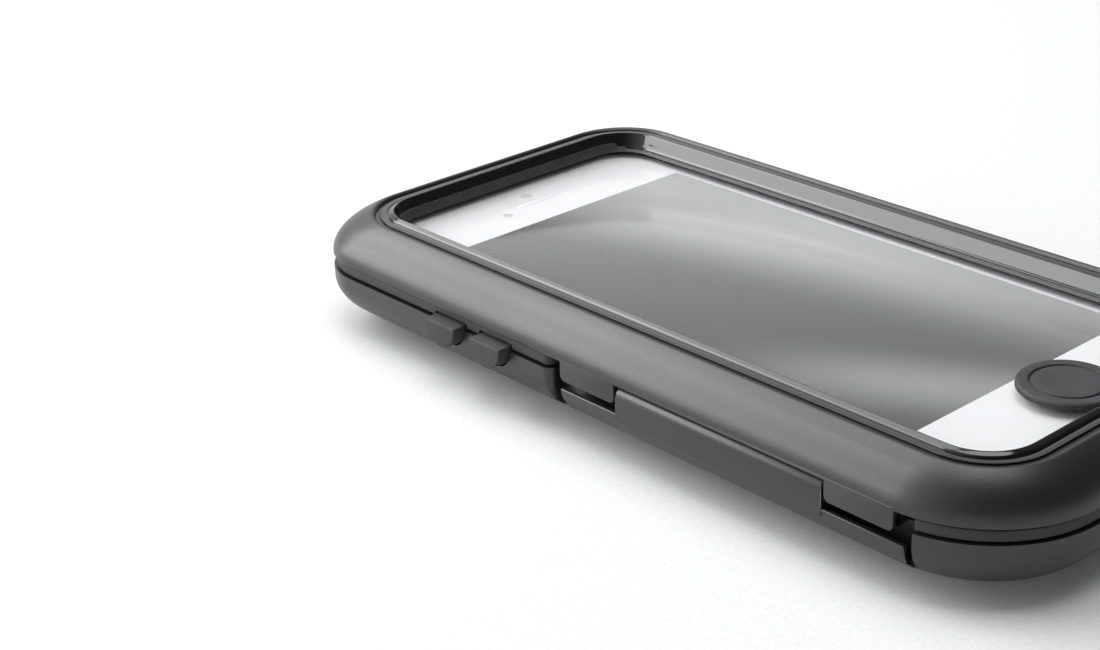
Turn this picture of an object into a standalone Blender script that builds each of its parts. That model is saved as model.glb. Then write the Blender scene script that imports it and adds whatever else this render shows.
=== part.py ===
"""Hard shell case that holds a handset on a bicycle.

The case lies on the plate on its back, with +Z up and the origin in the middle of the plate's flat face.
X runs along the handset, with its top end towards -X, and Y runs across it, with the latch at -Y.
Every size is in metres.
"""

import math

import bmesh
import bpy
from mathutils import Vector

MM = 0.001

# Clearances
FIT = 0.3 * MM
RUNNING_FIT = 0.3 * MM
PRESS_FIT = 0.3 * MM

CORNER_STEPS = 8

# Mounting plate on the back
PLATE_END_MARGIN = 7.2 * MM
PLATE_SIDE_MARGIN = 12.0 * MM
PLATE_CORNER = 9.0 * MM
PLATE_THICKNESS = 3.0 * MM
PLATE_BEVEL = 0.6 * MM
SCREW_MARGIN = 8.0 * MM
SCREW_HEAD_RADIUS = 2.6 * MM
SCREW_HEAD_HEIGHT = 1.2 * MM
SCREW_HEAD_SINK = 1.4 * MM
SCREW_SHANK_RADIUS = 1.1 * MM
SCREW_BITE = 1.1 * MM
SCREW_DRIVE_ACROSS = 1.8 * MM
SCREW_DRIVE_DEPTH = 0.7 * MM

# Handset
PHONE_LENGTH = 123.8 * MM
PHONE_WIDTH = 58.6 * MM
PHONE_THICKNESS = 7.6 * MM
PHONE_CORNER = 9.3 * MM
PHONE_EDGE = 0.5 * MM
PHONE_SHIFT = -0.6 * MM
FACE_THICKNESS = 0.9 * MM
FACE_INSET = 0.7 * MM
DISPLAY_END_MARGIN = 17.65 * MM
DISPLAY_SIDE_MARGIN = 4.35 * MM
DISPLAY_THICKNESS = 0.3 * MM
CAMERA_FROM_TOP = 7.1 * MM
CAMERA_RADIUS = 1.0 * MM
SENSOR_FROM_TOP = 11.7 * MM
SENSOR_OFFSET = 8.0 * MM
SENSOR_RADIUS = 0.8 * MM
EARPIECE_FROM_TOP = 9.8 * MM
EARPIECE_LENGTH = 9.0 * MM
EARPIECE_WIDTH = 1.4 * MM
INLAY_DEPTH = 0.3 * MM
KEY_RADIUS = 2.0 * MM
KEY_PROUD = 0.35 * MM
KEY_SINK = 0.5 * MM
KEY_HEIGHT = 4.2 * MM

# Rear shell
SHELL_FLOOR = 1.9 * MM
SHELL_EDGE_RADIUS = 5.0 * MM
SHELL_WALL = 4.2 * MM
RIM_HEIGHT = 6.8 * MM
EDGE_STEPS = 5

# Silicone tray between the shell and the handset
TRAY_FLOOR = 1.1 * MM
TRAY_WALL = 1.9 * MM
BAND_HEIGHT = 1.6 * MM
BAND_SINK = 0.4 * MM

# Front frame
FRAME_RISE = 6.2 * MM
FRAME_SIDE = 5.2 * MM
FRAME_SHOULDER = 12.0 * MM
FRAME_WALL = 5.4 * MM
BULGE_STEPS = 9
LEDGE_WIDTH = 1.6 * MM
WINDOW_GROOVE = 1.0 * MM

# Window stack, from the handset upwards
MEMBRANE_THICKNESS = 0.4 * MM
GASKET_THICKNESS = 0.6 * MM
GASKET_REACH = 10.0 * MM
BEZEL_FOOT = 9.2 * MM
BEZEL_FLANGE = 1.9 * MM
BEZEL_RISE = 2.25 * MM
LIP_OUTER = 7.05 * MM
LIP_WIDTH = 1.5 * MM
LIP_ROUND = 0.2 * MM

# Home button over the window
HOME_FROM_BOTTOM = 9.6 * MM
HOME_RADIUS = 6.8 * MM
HOME_THICKNESS = 0.9 * MM
HOME_STEM_RADIUS = 4.0 * MM
HOME_TRAVEL = 0.4 * MM
HOME_LIFT = 0.2 * MM
HOME_RING_RADIUS = 4.9 * MM
HOME_RING_WIDTH = 0.5 * MM
HOME_RING_DEPTH = 0.3 * MM

# Volume buttons in the side of the shell
BUTTON_X = (-32.0 * MM, -21.7 * MM)
BUTTON_WIDTH = 6.8 * MM
BUTTON_DROP = 3.8 * MM
BUTTON_RISE = 0.8 * MM
BUTTON_PROUD = 2.0 * MM
BUTTON_CORNER = 3.3 * MM
BUTTON_CHAMFER = 0.2 * MM
BUTTON_FLANGE = 0.9 * MM
BUTTON_FLANGE_THICKNESS = 0.9 * MM
BUTTON_TRAVEL = 0.8 * MM
BUTTON_STEM_RADIUS = 1.3 * MM
BUTTON_NECK = 0.5 * MM

# Latch on the near side
LATCH_START = -7.3 * MM
LATCH_END = 54.1 * MM
LUG_WIDTH = 11.0 * MM
RIGHT_LUG_END = 52.4 * MM
LUG_DROP = 3.0 * MM
LUG_CORNER = 0.9 * MM
LATCH_PIN_RADIUS = 0.55 * MM
LATCH_KNUCKLE_RADIUS = 1.35 * MM
LATCH_PIN_PROUD = 0.8 * MM
LUG_CLEARANCE = 1.3 * MM
POCKET_DEPTH = 2.9 * MM
POCKET_END_GAP = 0.9 * MM
CATCH_PROUD = 0.7 * MM
CATCH_HEIGHT = 1.2 * MM
CATCH_LENGTH = 22.0 * MM
CATCH_FROM_TOP = 4.3 * MM
POCKET_START_GAP = 2.2 * MM
POCKET_ROUND = 1.7 * MM

# Hinge on the far side
HINGE_KNUCKLE_RADIUS = 2.1 * MM
HINGE_PIN_RADIUS = 0.8 * MM
HINGE_CENTRE_LENGTH = 36.0 * MM
HINGE_SIDE_LENGTH = 14.0 * MM
HINGE_WEB = 1.0 * MM
HINGE_ROOT = 3.0 * MM
HINGE_HEAD = 0.6 * MM

ROUND_STEPS = 20
SMALL_STEPS = 12

# Plan of the whole case, built up from the handset
SIDE_ROOM = FIT + TRAY_WALL + FIT + SHELL_WALL
HALF_LENGTH = PHONE_LENGTH / 2 + abs(PHONE_SHIFT) + SIDE_ROOM
HALF_WIDTH = PHONE_WIDTH / 2 + SIDE_ROOM
CORNER_RADIUS = PHONE_CORNER + SIDE_ROOM
TOP_CORNER = 0.75 * CORNER_RADIUS
BOTTOM_CORNER = 1.125 * CORNER_RADIUS
PLATE_LENGTH = 2 * (HALF_LENGTH - PLATE_END_MARGIN)
PLATE_WIDTH = 2 * (HALF_WIDTH - PLATE_SIDE_MARGIN)
DISPLAY_LENGTH = PHONE_LENGTH - 2 * DISPLAY_END_MARGIN
DISPLAY_WIDTH = PHONE_WIDTH - 2 * DISPLAY_SIDE_MARGIN

# Heights, built up from the plate
BACK_Z = PLATE_THICKNESS
FLOOR_Z = BACK_Z + SHELL_FLOOR
TRAY_Z = FLOOR_Z + FIT
PHONE_Z = TRAY_Z + TRAY_FLOOR + FIT
PHONE_TOP_Z = PHONE_Z + PHONE_THICKNESS
RIM_Z = BACK_Z + RIM_HEIGHT
BAND_Z = RIM_Z + FIT
BAND_TOP_Z = BAND_Z + BAND_HEIGHT
SKIRT_Z = BAND_TOP_Z + FIT
FRAME_TOP_Z = SKIRT_Z + FRAME_RISE
MEMBRANE_Z = PHONE_TOP_Z + FIT
MEMBRANE_TOP_Z = MEMBRANE_Z + MEMBRANE_THICKNESS
GASKET_Z = MEMBRANE_TOP_Z + FIT
GASKET_TOP_Z = GASKET_Z + GASKET_THICKNESS
LEDGE_Z = GASKET_TOP_Z
BEZEL_Z = LEDGE_Z + FIT
BEZEL_TOP_Z = BEZEL_Z + BEZEL_RISE
HOME_Z = MEMBRANE_TOP_Z + HOME_TRAVEL + HOME_LIFT
BUTTON_TOP_Z = RIM_Z + BUTTON_RISE

# Distances in from the outer wall
CAVITY_SIDE = SHELL_WALL
TRAY_OUTER = CAVITY_SIDE + FIT
TRAY_INNER = TRAY_OUTER + TRAY_WALL
WINDOW_OUTER = FRAME_SIDE + LEDGE_WIDTH + FIT
BEZEL_OUTER = FRAME_SIDE + WINDOW_GROOVE
POCKET_Y = -HALF_WIDTH + POCKET_DEPTH
POCKET_START = LATCH_START - POCKET_START_GAP

LATCH_AXIS_Y = -HALF_WIDTH + LATCH_KNUCKLE_RADIUS
LATCH_AXIS_Z = SKIRT_Z - RUNNING_FIT - LATCH_KNUCKLE_RADIUS
HINGE_AXIS_Y = HALF_WIDTH + HINGE_KNUCKLE_RADIUS + RUNNING_FIT
HINGE_AXIS_Z = (RIM_Z + SKIRT_Z) / 2

BLACK_PLASTIC = ("black plastic", (0.035, 0.035, 0.037), 0.42, 0.0)
GLOSS_PLASTIC = ("gloss plastic", (0.012, 0.012, 0.013), 0.12, 0.0)
RUBBER = ("silicone rubber", (0.045, 0.045, 0.047), 0.75, 0.0)
FILM = ("clear film", (0.85, 0.87, 0.88), 0.08, 0.0)
STEEL = ("steel", (0.55, 0.55, 0.56), 0.3, 1.0)
WHITE_GLASS = ("white glass", (0.86, 0.86, 0.87), 0.12, 0.0)
DARK_GLASS = ("display", (0.16, 0.16, 0.165), 0.1, 0.0)
ALUMINIUM = ("aluminium", (0.62, 0.62, 0.64), 0.35, 1.0)


def clear_scene():
    """Remove every object that the file starts with."""
    for item in list(bpy.data.objects):
        bpy.data.objects.remove(item, do_unlink=True)


def material(look):
    """Return the Principled material of one look, made on first use."""
    name, colour, roughness, metallic = look
    found = bpy.data.materials.get(name)
    if found:
        return found
    made = bpy.data.materials.new(name)
    made.use_nodes = True
    shader = made.node_tree.nodes["Principled BSDF"]
    shader.inputs["Base Color"].default_value = (*colour, 1.0)
    shader.inputs["Roughness"].default_value = roughness
    shader.inputs["Metallic"].default_value = metallic
    made.diffuse_color = (*colour, 1.0)
    return made


def add_object(name, mesh_data, look=None):
    """Turn a bmesh into an object with outward faces and smooth shading."""
    bmesh.ops.recalc_face_normals(mesh_data, faces=mesh_data.faces)
    mesh = bpy.data.meshes.new(name)
    mesh_data.to_mesh(mesh)
    mesh_data.free()
    mesh.shade_smooth()
    mesh.set_sharp_from_angle(angle=math.radians(32))
    item = bpy.data.objects.new(name, mesh)
    bpy.context.scene.collection.objects.link(item)
    if look:
        mesh.materials.append(material(look))
    return item


def rounded_loop(half_length, half_width, radius, z, centre_x=0.0, steps=CORNER_STEPS, far_radius=None):
    """Return one level loop, a rectangle with round corners, which may have a radius of their own at its +X end."""
    points = []
    corners = ((1, 1, 0), (-1, 1, 90), (-1, -1, 180), (1, -1, 270))
    low_radius, high_radius = radius, far_radius or radius
    for side_x, side_y, start in corners:
        radius = high_radius if side_x > 0 else low_radius
        for step in range(steps + 1):
            angle = math.radians(start + 90 * step / steps)
            x = centre_x + side_x * (half_length - radius) + radius * math.cos(angle)
            y = side_y * (half_width - radius) + radius * math.sin(angle)
            points.append(Vector((x, y, z)))
    return points


def case_loop(inset, z):
    """Return the case's outline moved in from the outer wall, whose corners aren't as round as the window's.

    They are tighter at the top end and wider at the bottom end.
    """
    share = max(0.0, 1 - inset / FRAME_SIDE)
    top, bottom = (CORNER_RADIUS - inset + (corner - CORNER_RADIUS) * share for corner in (TOP_CORNER, BOTTOM_CORNER))
    return rounded_loop(HALF_LENGTH - inset, HALF_WIDTH - inset, top, z, far_radius=bottom)


def loft(name, loops, look=None, ring=False):
    """Join loops with the same number of points, closed with caps or closed back on itself."""
    mesh_data = bmesh.new()
    rows = [[mesh_data.verts.new(point) for point in loop] for loop in loops]
    count = len(rows[0])
    pairs = list(zip(rows, rows[1:]))
    if ring:
        pairs.append((rows[-1], rows[0]))
    else:
        mesh_data.faces.new(rows[0])
        mesh_data.faces.new(rows[-1])
    for lower, upper in pairs:
        for index in range(count):
            after = (index + 1) % count
            mesh_data.faces.new((lower[index], lower[after], upper[after], upper[index]))
    return add_object(name, mesh_data, look)


def prism(name, outline, axis, low, high, look=None):
    """Extrude a flat outline along one axis, from low to high."""
    def at(u, v, along):
        if axis == "X":
            return (along, u, v)
        if axis == "Y":
            return (u, along, v)
        return (u, v, along)

    mesh_data = bmesh.new()
    face = mesh_data.faces.new([mesh_data.verts.new(at(u, v, low)) for u, v in outline])
    moved = bmesh.ops.extrude_face_region(mesh_data, geom=[face])
    corners = [part for part in moved["geom"] if isinstance(part, bmesh.types.BMVert)]
    bmesh.ops.translate(mesh_data, verts=corners, vec=at(0.0, 0.0, high - low))
    return add_object(name, mesh_data, look)


def box(name, low, high, look=None):
    """Make a block between two corners."""
    outline = ((low[0], low[1]), (high[0], low[1]), (high[0], high[1]), (low[0], high[1]))
    return prism(name, outline, "Z", low[2], high[2], look)


def circle(u, v, radius, steps=ROUND_STEPS):
    """Return the points of a circle in a plane."""
    angles = [2 * math.pi * step / steps for step in range(steps)]
    return [(u + radius * math.cos(angle), v + radius * math.sin(angle)) for angle in angles]


def round_corner(u, v, radius, start, steps=5):
    """Return a quarter of a circle round a corner's centre."""
    angles = [math.radians(start + 90 * step / steps) for step in range(steps + 1)]
    return [(u + radius * math.cos(angle), v + radius * math.sin(angle)) for angle in angles]


def turned(name, profile, x, y, look):
    """Spin a closed profile of radius and height round an upright axis."""
    loops = []
    for radius, z in profile:
        loops.append([Vector((u, v, z)) for u, v in circle(x, y, radius, ROUND_STEPS + 8)])
    return loft(name, loops, look)


def carve(target, tool, operation="DIFFERENCE"):
    """Cut a tool out of a piece, or join it on, with the tool kept as a hidden guide."""
    tool.hide_render = True
    tool.display_type = "WIRE"
    step = target.modifiers.new(tool.name, "BOOLEAN")
    step.operation = operation
    step.solver = "EXACT"
    step.object = tool


def add_axis(name, location):
    """Add the empty that marks a joint's axis."""
    axis = bpy.data.objects.new(name, None)
    axis.empty_display_size = 0.01
    axis.location = location
    bpy.context.scene.collection.objects.link(axis)
    return axis


def hang(pieces, axis):
    """Parent pieces to an axis, and leave them where they are."""
    for piece in pieces:
        piece.parent = axis
        piece.location = -axis.location


def button_outline(centre_x, margin=0.0):
    """Return the D of a volume button in X and Z, flat at the top and round below."""
    half = BUTTON_WIDTH / 2 + margin
    top = BUTTON_TOP_Z + margin
    bottom = BUTTON_TOP_Z - BUTTON_DROP - margin
    corner = BUTTON_CORNER + margin
    right = round_corner(centre_x + half - corner, bottom + corner, corner, 270)
    left = round_corner(centre_x - half + corner, bottom + corner, corner, 180)
    return [(centre_x - half, top)] + left + right + [(centre_x + half, top)]


def pocket_round(inset):
    """Return what is cut away to round the upright edge where the wall turns into the latch pocket."""
    x = POCKET_START - POCKET_ROUND
    y = -HALF_WIDTH + POCKET_ROUND
    corner = round_corner(x, y, POCKET_ROUND - inset, 270)
    return corner + [(POCKET_START + FIT, y), (POCKET_START + FIT, -HALF_WIDTH - FIT), (x, -HALF_WIDTH - FIT)]


def make_rear_shell():
    """The rear half: a tray with a round lower edge, a latch pocket and a hinge barrel."""
    loops = []
    for step in range(EDGE_STEPS + 1):
        angle = math.radians(90 * step / EDGE_STEPS)
        inset = SHELL_EDGE_RADIUS * (1 - math.sin(angle))
        loops.append(case_loop(inset, BACK_Z + SHELL_EDGE_RADIUS * (1 - math.cos(angle))))
    loops.append(case_loop(0.0, RIM_Z))
    loops.append(case_loop(CAVITY_SIDE, RIM_Z))
    loops.append(case_loop(CAVITY_SIDE, FLOOR_Z))
    shell = loft("rear_shell", loops, BLACK_PLASTIC)

    pocket_low = (POCKET_START, -HALF_WIDTH - POCKET_DEPTH, BACK_Z - FIT)
    pocket_high = (LATCH_END + POCKET_END_GAP, POCKET_Y, RIM_Z + FIT)
    carve(shell, box("latch_pocket_cutter", pocket_low, pocket_high))

    catch_x = (LATCH_START + LATCH_END) / 2
    catch_z = RIM_Z - CATCH_FROM_TOP
    catch_outline = (
        (POCKET_Y + FIT, catch_z + CATCH_HEIGHT / 2 + CATCH_PROUD),
        (POCKET_Y - CATCH_PROUD, catch_z + CATCH_HEIGHT / 2),
        (POCKET_Y - CATCH_PROUD, catch_z - CATCH_HEIGHT / 2),
        (POCKET_Y + FIT, catch_z - CATCH_HEIGHT / 2 - CATCH_PROUD),
    )
    low = catch_x - CATCH_LENGTH / 2
    carve(shell, prism("catch_rib_guide", catch_outline, "X", low, low + CATCH_LENGTH), "UNION")

    carve(shell, prism("pocket_round_cutter", pocket_round(0.0), "Z", BACK_Z - FIT, RIM_Z + FIT))

    wall_y = -HALF_WIDTH + SHELL_WALL
    flange_y = wall_y - BUTTON_TRAVEL - BUTTON_FLANGE_THICKNESS - FIT
    for number, centre_x in enumerate(BUTTON_X, start=1):
        hole = button_outline(centre_x, FIT)
        carve(shell, prism(f"button_hole_cutter_{number}", hole, "Y", -HALF_WIDTH - FIT, wall_y + FIT))
        seat = button_outline(centre_x, BUTTON_FLANGE + FIT)
        carve(shell, prism(f"button_seat_cutter_{number}", seat, "Y", flange_y, wall_y + FIT))

    half = HINGE_CENTRE_LENGTH / 2
    web_low = (-half, HALF_WIDTH - HINGE_ROOT, HINGE_AXIS_Z - HINGE_KNUCKLE_RADIUS)
    web_high = (half, HINGE_AXIS_Y, web_low[2] + HINGE_WEB)
    carve(shell, box("shell_hinge_web_guide", web_low, web_high), "UNION")
    barrel = circle(HINGE_AXIS_Y, HINGE_AXIS_Z, HINGE_KNUCKLE_RADIUS)
    carve(shell, prism("shell_barrel_guide", barrel, "X", -half, half), "UNION")
    bore = circle(HINGE_AXIS_Y, HINGE_AXIS_Z, HINGE_PIN_RADIUS + PRESS_FIT)
    carve(shell, prism("shell_barrel_bore_cutter", bore, "X", -half - FIT, half + FIT))

    for number, (x, y) in enumerate(screw_places(), start=1):
        hole = circle(x, y, SCREW_SHANK_RADIUS + FIT, SMALL_STEPS)
        top = BACK_Z + SCREW_BITE + FIT
        carve(shell, prism(f"shell_screw_cutter_{number}", hole, "Z", BACK_Z - FIT, top))
    return shell


def screw_places():
    """Return the four screw positions on the plate."""
    x = PLATE_LENGTH / 2 - SCREW_MARGIN
    y = PLATE_WIDTH / 2 - SCREW_MARGIN
    return ((-x, -y), (x, -y), (x, y), (-x, y))


def make_plate():
    """The flat plate on the back that carries the bicycle mount, with its four screws."""
    def level(inset, z):
        return rounded_loop(PLATE_LENGTH / 2 - inset, PLATE_WIDTH / 2 - inset, PLATE_CORNER - inset, z)

    top = PLATE_THICKNESS - FIT
    plate = loft("mount_plate", (level(PLATE_BEVEL, 0.0), level(0.0, PLATE_BEVEL), level(0.0, top)), BLACK_PLASTIC)
    pieces = [plate]
    for number, (x, y) in enumerate(screw_places(), start=1):
        sink = circle(x, y, SCREW_HEAD_RADIUS + FIT)
        sink_top = SCREW_HEAD_SINK + FIT
        carve(plate, prism(f"plate_sink_cutter_{number}", sink, "Z", -FIT, sink_top))
        hole = circle(x, y, SCREW_SHANK_RADIUS + FIT, SMALL_STEPS)
        carve(plate, prism(f"plate_hole_cutter_{number}", hole, "Z", SCREW_HEAD_SINK, PLATE_THICKNESS + FIT))
        head_low = SCREW_HEAD_SINK - SCREW_HEAD_HEIGHT
        shank_top = BACK_Z + SCREW_BITE
        profile = (
            (SCREW_HEAD_RADIUS * 0.9, head_low),
            (SCREW_HEAD_RADIUS, head_low + SCREW_HEAD_HEIGHT / 3),
            (SCREW_HEAD_RADIUS, SCREW_HEAD_SINK),
            (SCREW_SHANK_RADIUS, SCREW_HEAD_SINK),
            (SCREW_SHANK_RADIUS, shank_top),
        )
        screw = turned(f"plate_screw_{number}", profile, x, y, STEEL)
        drive = circle(x, y, SCREW_DRIVE_ACROSS / math.sqrt(3), 6)
        carve(screw, prism(f"screw_drive_cutter_{number}", drive, "Z", -FIT, head_low + SCREW_DRIVE_DEPTH))
        pieces.append(screw)
    return pieces


def make_tray():
    """The silicone tray round the handset, whose flange shows as the dark band."""
    loops = (
        case_loop(TRAY_OUTER, TRAY_Z),
        case_loop(TRAY_OUTER, BAND_Z),
        case_loop(BAND_SINK, BAND_Z),
        case_loop(BAND_SINK, BAND_TOP_Z),
        case_loop(TRAY_INNER, BAND_TOP_Z),
        case_loop(TRAY_INNER, TRAY_Z + TRAY_FLOOR),
    )
    tray = loft("silicone_tray", loops, RUBBER)

    low = (POCKET_START - BAND_SINK, -HALF_WIDTH - FIT, BAND_Z - FIT)
    high = (LATCH_END + POCKET_END_GAP, POCKET_Y, BAND_TOP_Z + FIT)
    carve(tray, box("tray_latch_cutter", low, high))
    carve(tray, prism("tray_round_cutter", pocket_round(BAND_SINK), "Z", BAND_Z - FIT, BAND_TOP_Z + FIT))

    stem_z = BUTTON_TOP_Z - BUTTON_DROP / 2
    for number, centre_x in enumerate(BUTTON_X, start=1):
        notch = button_outline(centre_x, FIT)
        carve(tray, prism(f"tray_button_cutter_{number}", notch, "Y", -HALF_WIDTH, -HALF_WIDTH + SHELL_WALL))
        inner = button_outline(centre_x, BUTTON_FLANGE + FIT)
        start = -HALF_WIDTH + SHELL_WALL - BUTTON_TRAVEL - BUTTON_FLANGE_THICKNESS - FIT
        carve(tray, prism(f"tray_flange_cutter_{number}", inner, "Y", start, -HALF_WIDTH + SHELL_WALL + FIT / 2))
        hole = circle(centre_x, stem_z, KEY_RADIUS + FIT, SMALL_STEPS)
        inner_y = -HALF_WIDTH + TRAY_INNER + FIT
        carve(tray, prism(f"tray_stem_cutter_{number}", hole, "Y", -HALF_WIDTH + SHELL_WALL - FIT, inner_y))
    return tray


def make_buttons():
    """The two volume buttons, each with a flange that keeps it in the wall and a stem to the key."""
    buttons = []
    wall_y = -HALF_WIDTH + SHELL_WALL
    face_y = -HALF_WIDTH - BUTTON_PROUD
    flange_y = wall_y - BUTTON_TRAVEL - BUTTON_FLANGE_THICKNESS
    names = ("volume_up_button", "volume_down_button")
    stem_z = BUTTON_TOP_Z - BUTTON_DROP / 2
    for name, centre_x in zip(names, BUTTON_X):
        chamfered = button_outline(centre_x, -BUTTON_CHAMFER)
        full = button_outline(centre_x)
        loops = []
        for outline, y in ((chamfered, face_y), (full, face_y + BUTTON_CHAMFER), (full, flange_y + FIT)):
            loops.append([Vector((u, y, v)) for u, v in outline])
        button = loft(name, loops, RUBBER)
        flange = button_outline(centre_x, BUTTON_FLANGE)
        end = flange_y + BUTTON_FLANGE_THICKNESS
        carve(button, prism(name + "_flange_guide", flange, "Y", flange_y, end), "UNION")
        stem = circle(centre_x, stem_z, BUTTON_STEM_RADIUS, SMALL_STEPS)
        tip = -PHONE_WIDTH / 2 - KEY_PROUD - BUTTON_TRAVEL - FIT
        carve(button, prism(name + "_stem_guide", stem, "Y", end - FIT, tip), "UNION")
        buttons.append(button)
    return buttons


def bulge_loops():
    """Return the loops of the frame's round shoulder, from the skirt to the top edge."""
    loops = []
    reach = FRAME_SIDE / FRAME_SHOULDER
    top_angle = math.asin(1 - reach)
    rise = FRAME_RISE / math.cos(top_angle)
    for step in range(BULGE_STEPS + 1):
        angle = math.pi / 2 + (top_angle - math.pi / 2) * step / BULGE_STEPS
        inset = FRAME_SHOULDER * (1 - math.sin(angle))
        loops.append(case_loop(inset, SKIRT_Z + rise * math.cos(angle)))
    return loops


def make_frame():
    """The front frame: the matt ring with the latch lugs and the outer hinge barrels."""
    ledge = FRAME_SIDE + LEDGE_WIDTH
    loops = bulge_loops()
    loops.append(case_loop(FRAME_SIDE, LEDGE_Z))
    loops.append(case_loop(ledge, LEDGE_Z))
    loops.append(case_loop(ledge, MEMBRANE_Z))
    loops.append(case_loop(FRAME_WALL, MEMBRANE_Z))
    loops.append(case_loop(FRAME_WALL, SKIRT_Z))
    frame = loft("front_frame", loops, BLACK_PLASTIC, ring=True)

    bottom = SKIRT_Z - LUG_DROP
    for number, start in enumerate((LATCH_START, RIGHT_LUG_END - LUG_WIDTH), start=1):
        end = start + LUG_WIDTH
        left = round_corner(start + LUG_CORNER, bottom + LUG_CORNER, LUG_CORNER, 180)
        right = round_corner(end - LUG_CORNER, bottom + LUG_CORNER, LUG_CORNER, 270)
        top = SKIRT_Z + FIT
        outline = [(start, top)] + left + right + [(end, top)]
        inner_y = LATCH_AXIS_Y + LATCH_KNUCKLE_RADIUS
        carve(frame, prism(f"lug_guide_{number}", outline, "Y", -HALF_WIDTH, inner_y), "UNION")
    bore = circle(LATCH_AXIS_Y, LATCH_AXIS_Z, LATCH_PIN_RADIUS + PRESS_FIT, SMALL_STEPS)
    bore_end = RIGHT_LUG_END + FIT
    carve(frame, prism("lug_bore_cutter", bore, "X", LATCH_START - FIT, bore_end))

    for number, side in enumerate((-1, 1), start=1):
        inner = HINGE_CENTRE_LENGTH / 2 + RUNNING_FIT
        ends = sorted((side * inner, side * (inner + HINGE_SIDE_LENGTH)))
        web_top = HINGE_AXIS_Z + HINGE_KNUCKLE_RADIUS
        low = (ends[0], HALF_WIDTH - HINGE_ROOT, web_top - HINGE_WEB)
        high = (ends[1], HINGE_AXIS_Y, web_top)
        carve(frame, box(f"frame_hinge_web_guide_{number}", low, high), "UNION")
        barrel = circle(HINGE_AXIS_Y, HINGE_AXIS_Z, HINGE_KNUCKLE_RADIUS)
        carve(frame, prism(f"frame_barrel_guide_{number}", barrel, "X", *ends), "UNION")
        hole = circle(HINGE_AXIS_Y, HINGE_AXIS_Z, HINGE_PIN_RADIUS + PRESS_FIT)
        cut = (ends[0] - FIT, ends[1] + FIT)
        carve(frame, prism(f"frame_barrel_bore_cutter_{number}", hole, "X", *cut))
    return frame


def make_window():
    """The clear membrane, the dark gasket on it and the glossy bezel ring with its lip."""
    outer = case_loop(WINDOW_OUTER, MEMBRANE_Z)
    outer_top = case_loop(WINDOW_OUTER, MEMBRANE_TOP_Z)
    membrane = loft("window_membrane", (outer, outer_top), FILM)
    hole = circle(home_x(), 0.0, HOME_STEM_RADIUS + FIT)
    carve(membrane, prism("membrane_hole_cutter", hole, "Z", MEMBRANE_Z - FIT, MEMBRANE_TOP_Z + FIT))

    gasket_loops = (
        case_loop(WINDOW_OUTER, GASKET_Z),
        case_loop(WINDOW_OUTER, GASKET_TOP_Z),
        case_loop(BEZEL_FOOT, GASKET_TOP_Z),
        case_loop(GASKET_REACH, GASKET_Z + GASKET_THICKNESS / 3),
        case_loop(GASKET_REACH, GASKET_Z),
    )
    gasket = loft("window_gasket", gasket_loops, RUBBER, ring=True)

    lip_inner = LIP_OUTER + LIP_WIDTH
    flange_z = BEZEL_Z + BEZEL_FLANGE
    bezel_loops = (
        case_loop(BEZEL_OUTER, BEZEL_Z),
        case_loop(BEZEL_OUTER, flange_z),
        case_loop(LIP_OUTER, flange_z),
        case_loop(LIP_OUTER, BEZEL_TOP_Z - LIP_ROUND),
        case_loop(LIP_OUTER + LIP_ROUND, BEZEL_TOP_Z),
        case_loop(lip_inner - LIP_ROUND, BEZEL_TOP_Z),
        case_loop(lip_inner, BEZEL_TOP_Z - LIP_ROUND),
        case_loop(BEZEL_FOOT, BEZEL_Z),
    )
    bezel = loft("bezel_ring", bezel_loops, GLOSS_PLASTIC, ring=True)
    return membrane, gasket, bezel


def home_x():
    """Return the middle of the home button along the handset."""
    return PHONE_SHIFT + PHONE_LENGTH / 2 - HOME_FROM_BOTTOM


def make_home_button():
    """The round home button over the window, with a ring groove and a short stem."""
    top = HOME_Z + HOME_THICKNESS
    groove_inner = HOME_RING_RADIUS - HOME_RING_WIDTH / 2
    groove_outer = HOME_RING_RADIUS + HOME_RING_WIDTH / 2
    stem_z = MEMBRANE_TOP_Z
    profile = (
        (HOME_STEM_RADIUS, stem_z),
        (HOME_STEM_RADIUS, HOME_Z),
        (HOME_RADIUS, HOME_Z),
        (HOME_RADIUS, top - HOME_THICKNESS / 4),
        (HOME_RADIUS - HOME_THICKNESS / 4, top),
        (groove_outer, top),
        (groove_outer, top - HOME_RING_DEPTH),
        (groove_inner, top - HOME_RING_DEPTH),
        (groove_inner, top),
        (groove_inner / 2, top),
    )
    return turned("home_button", profile, home_x(), 0.0, RUBBER)


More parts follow.
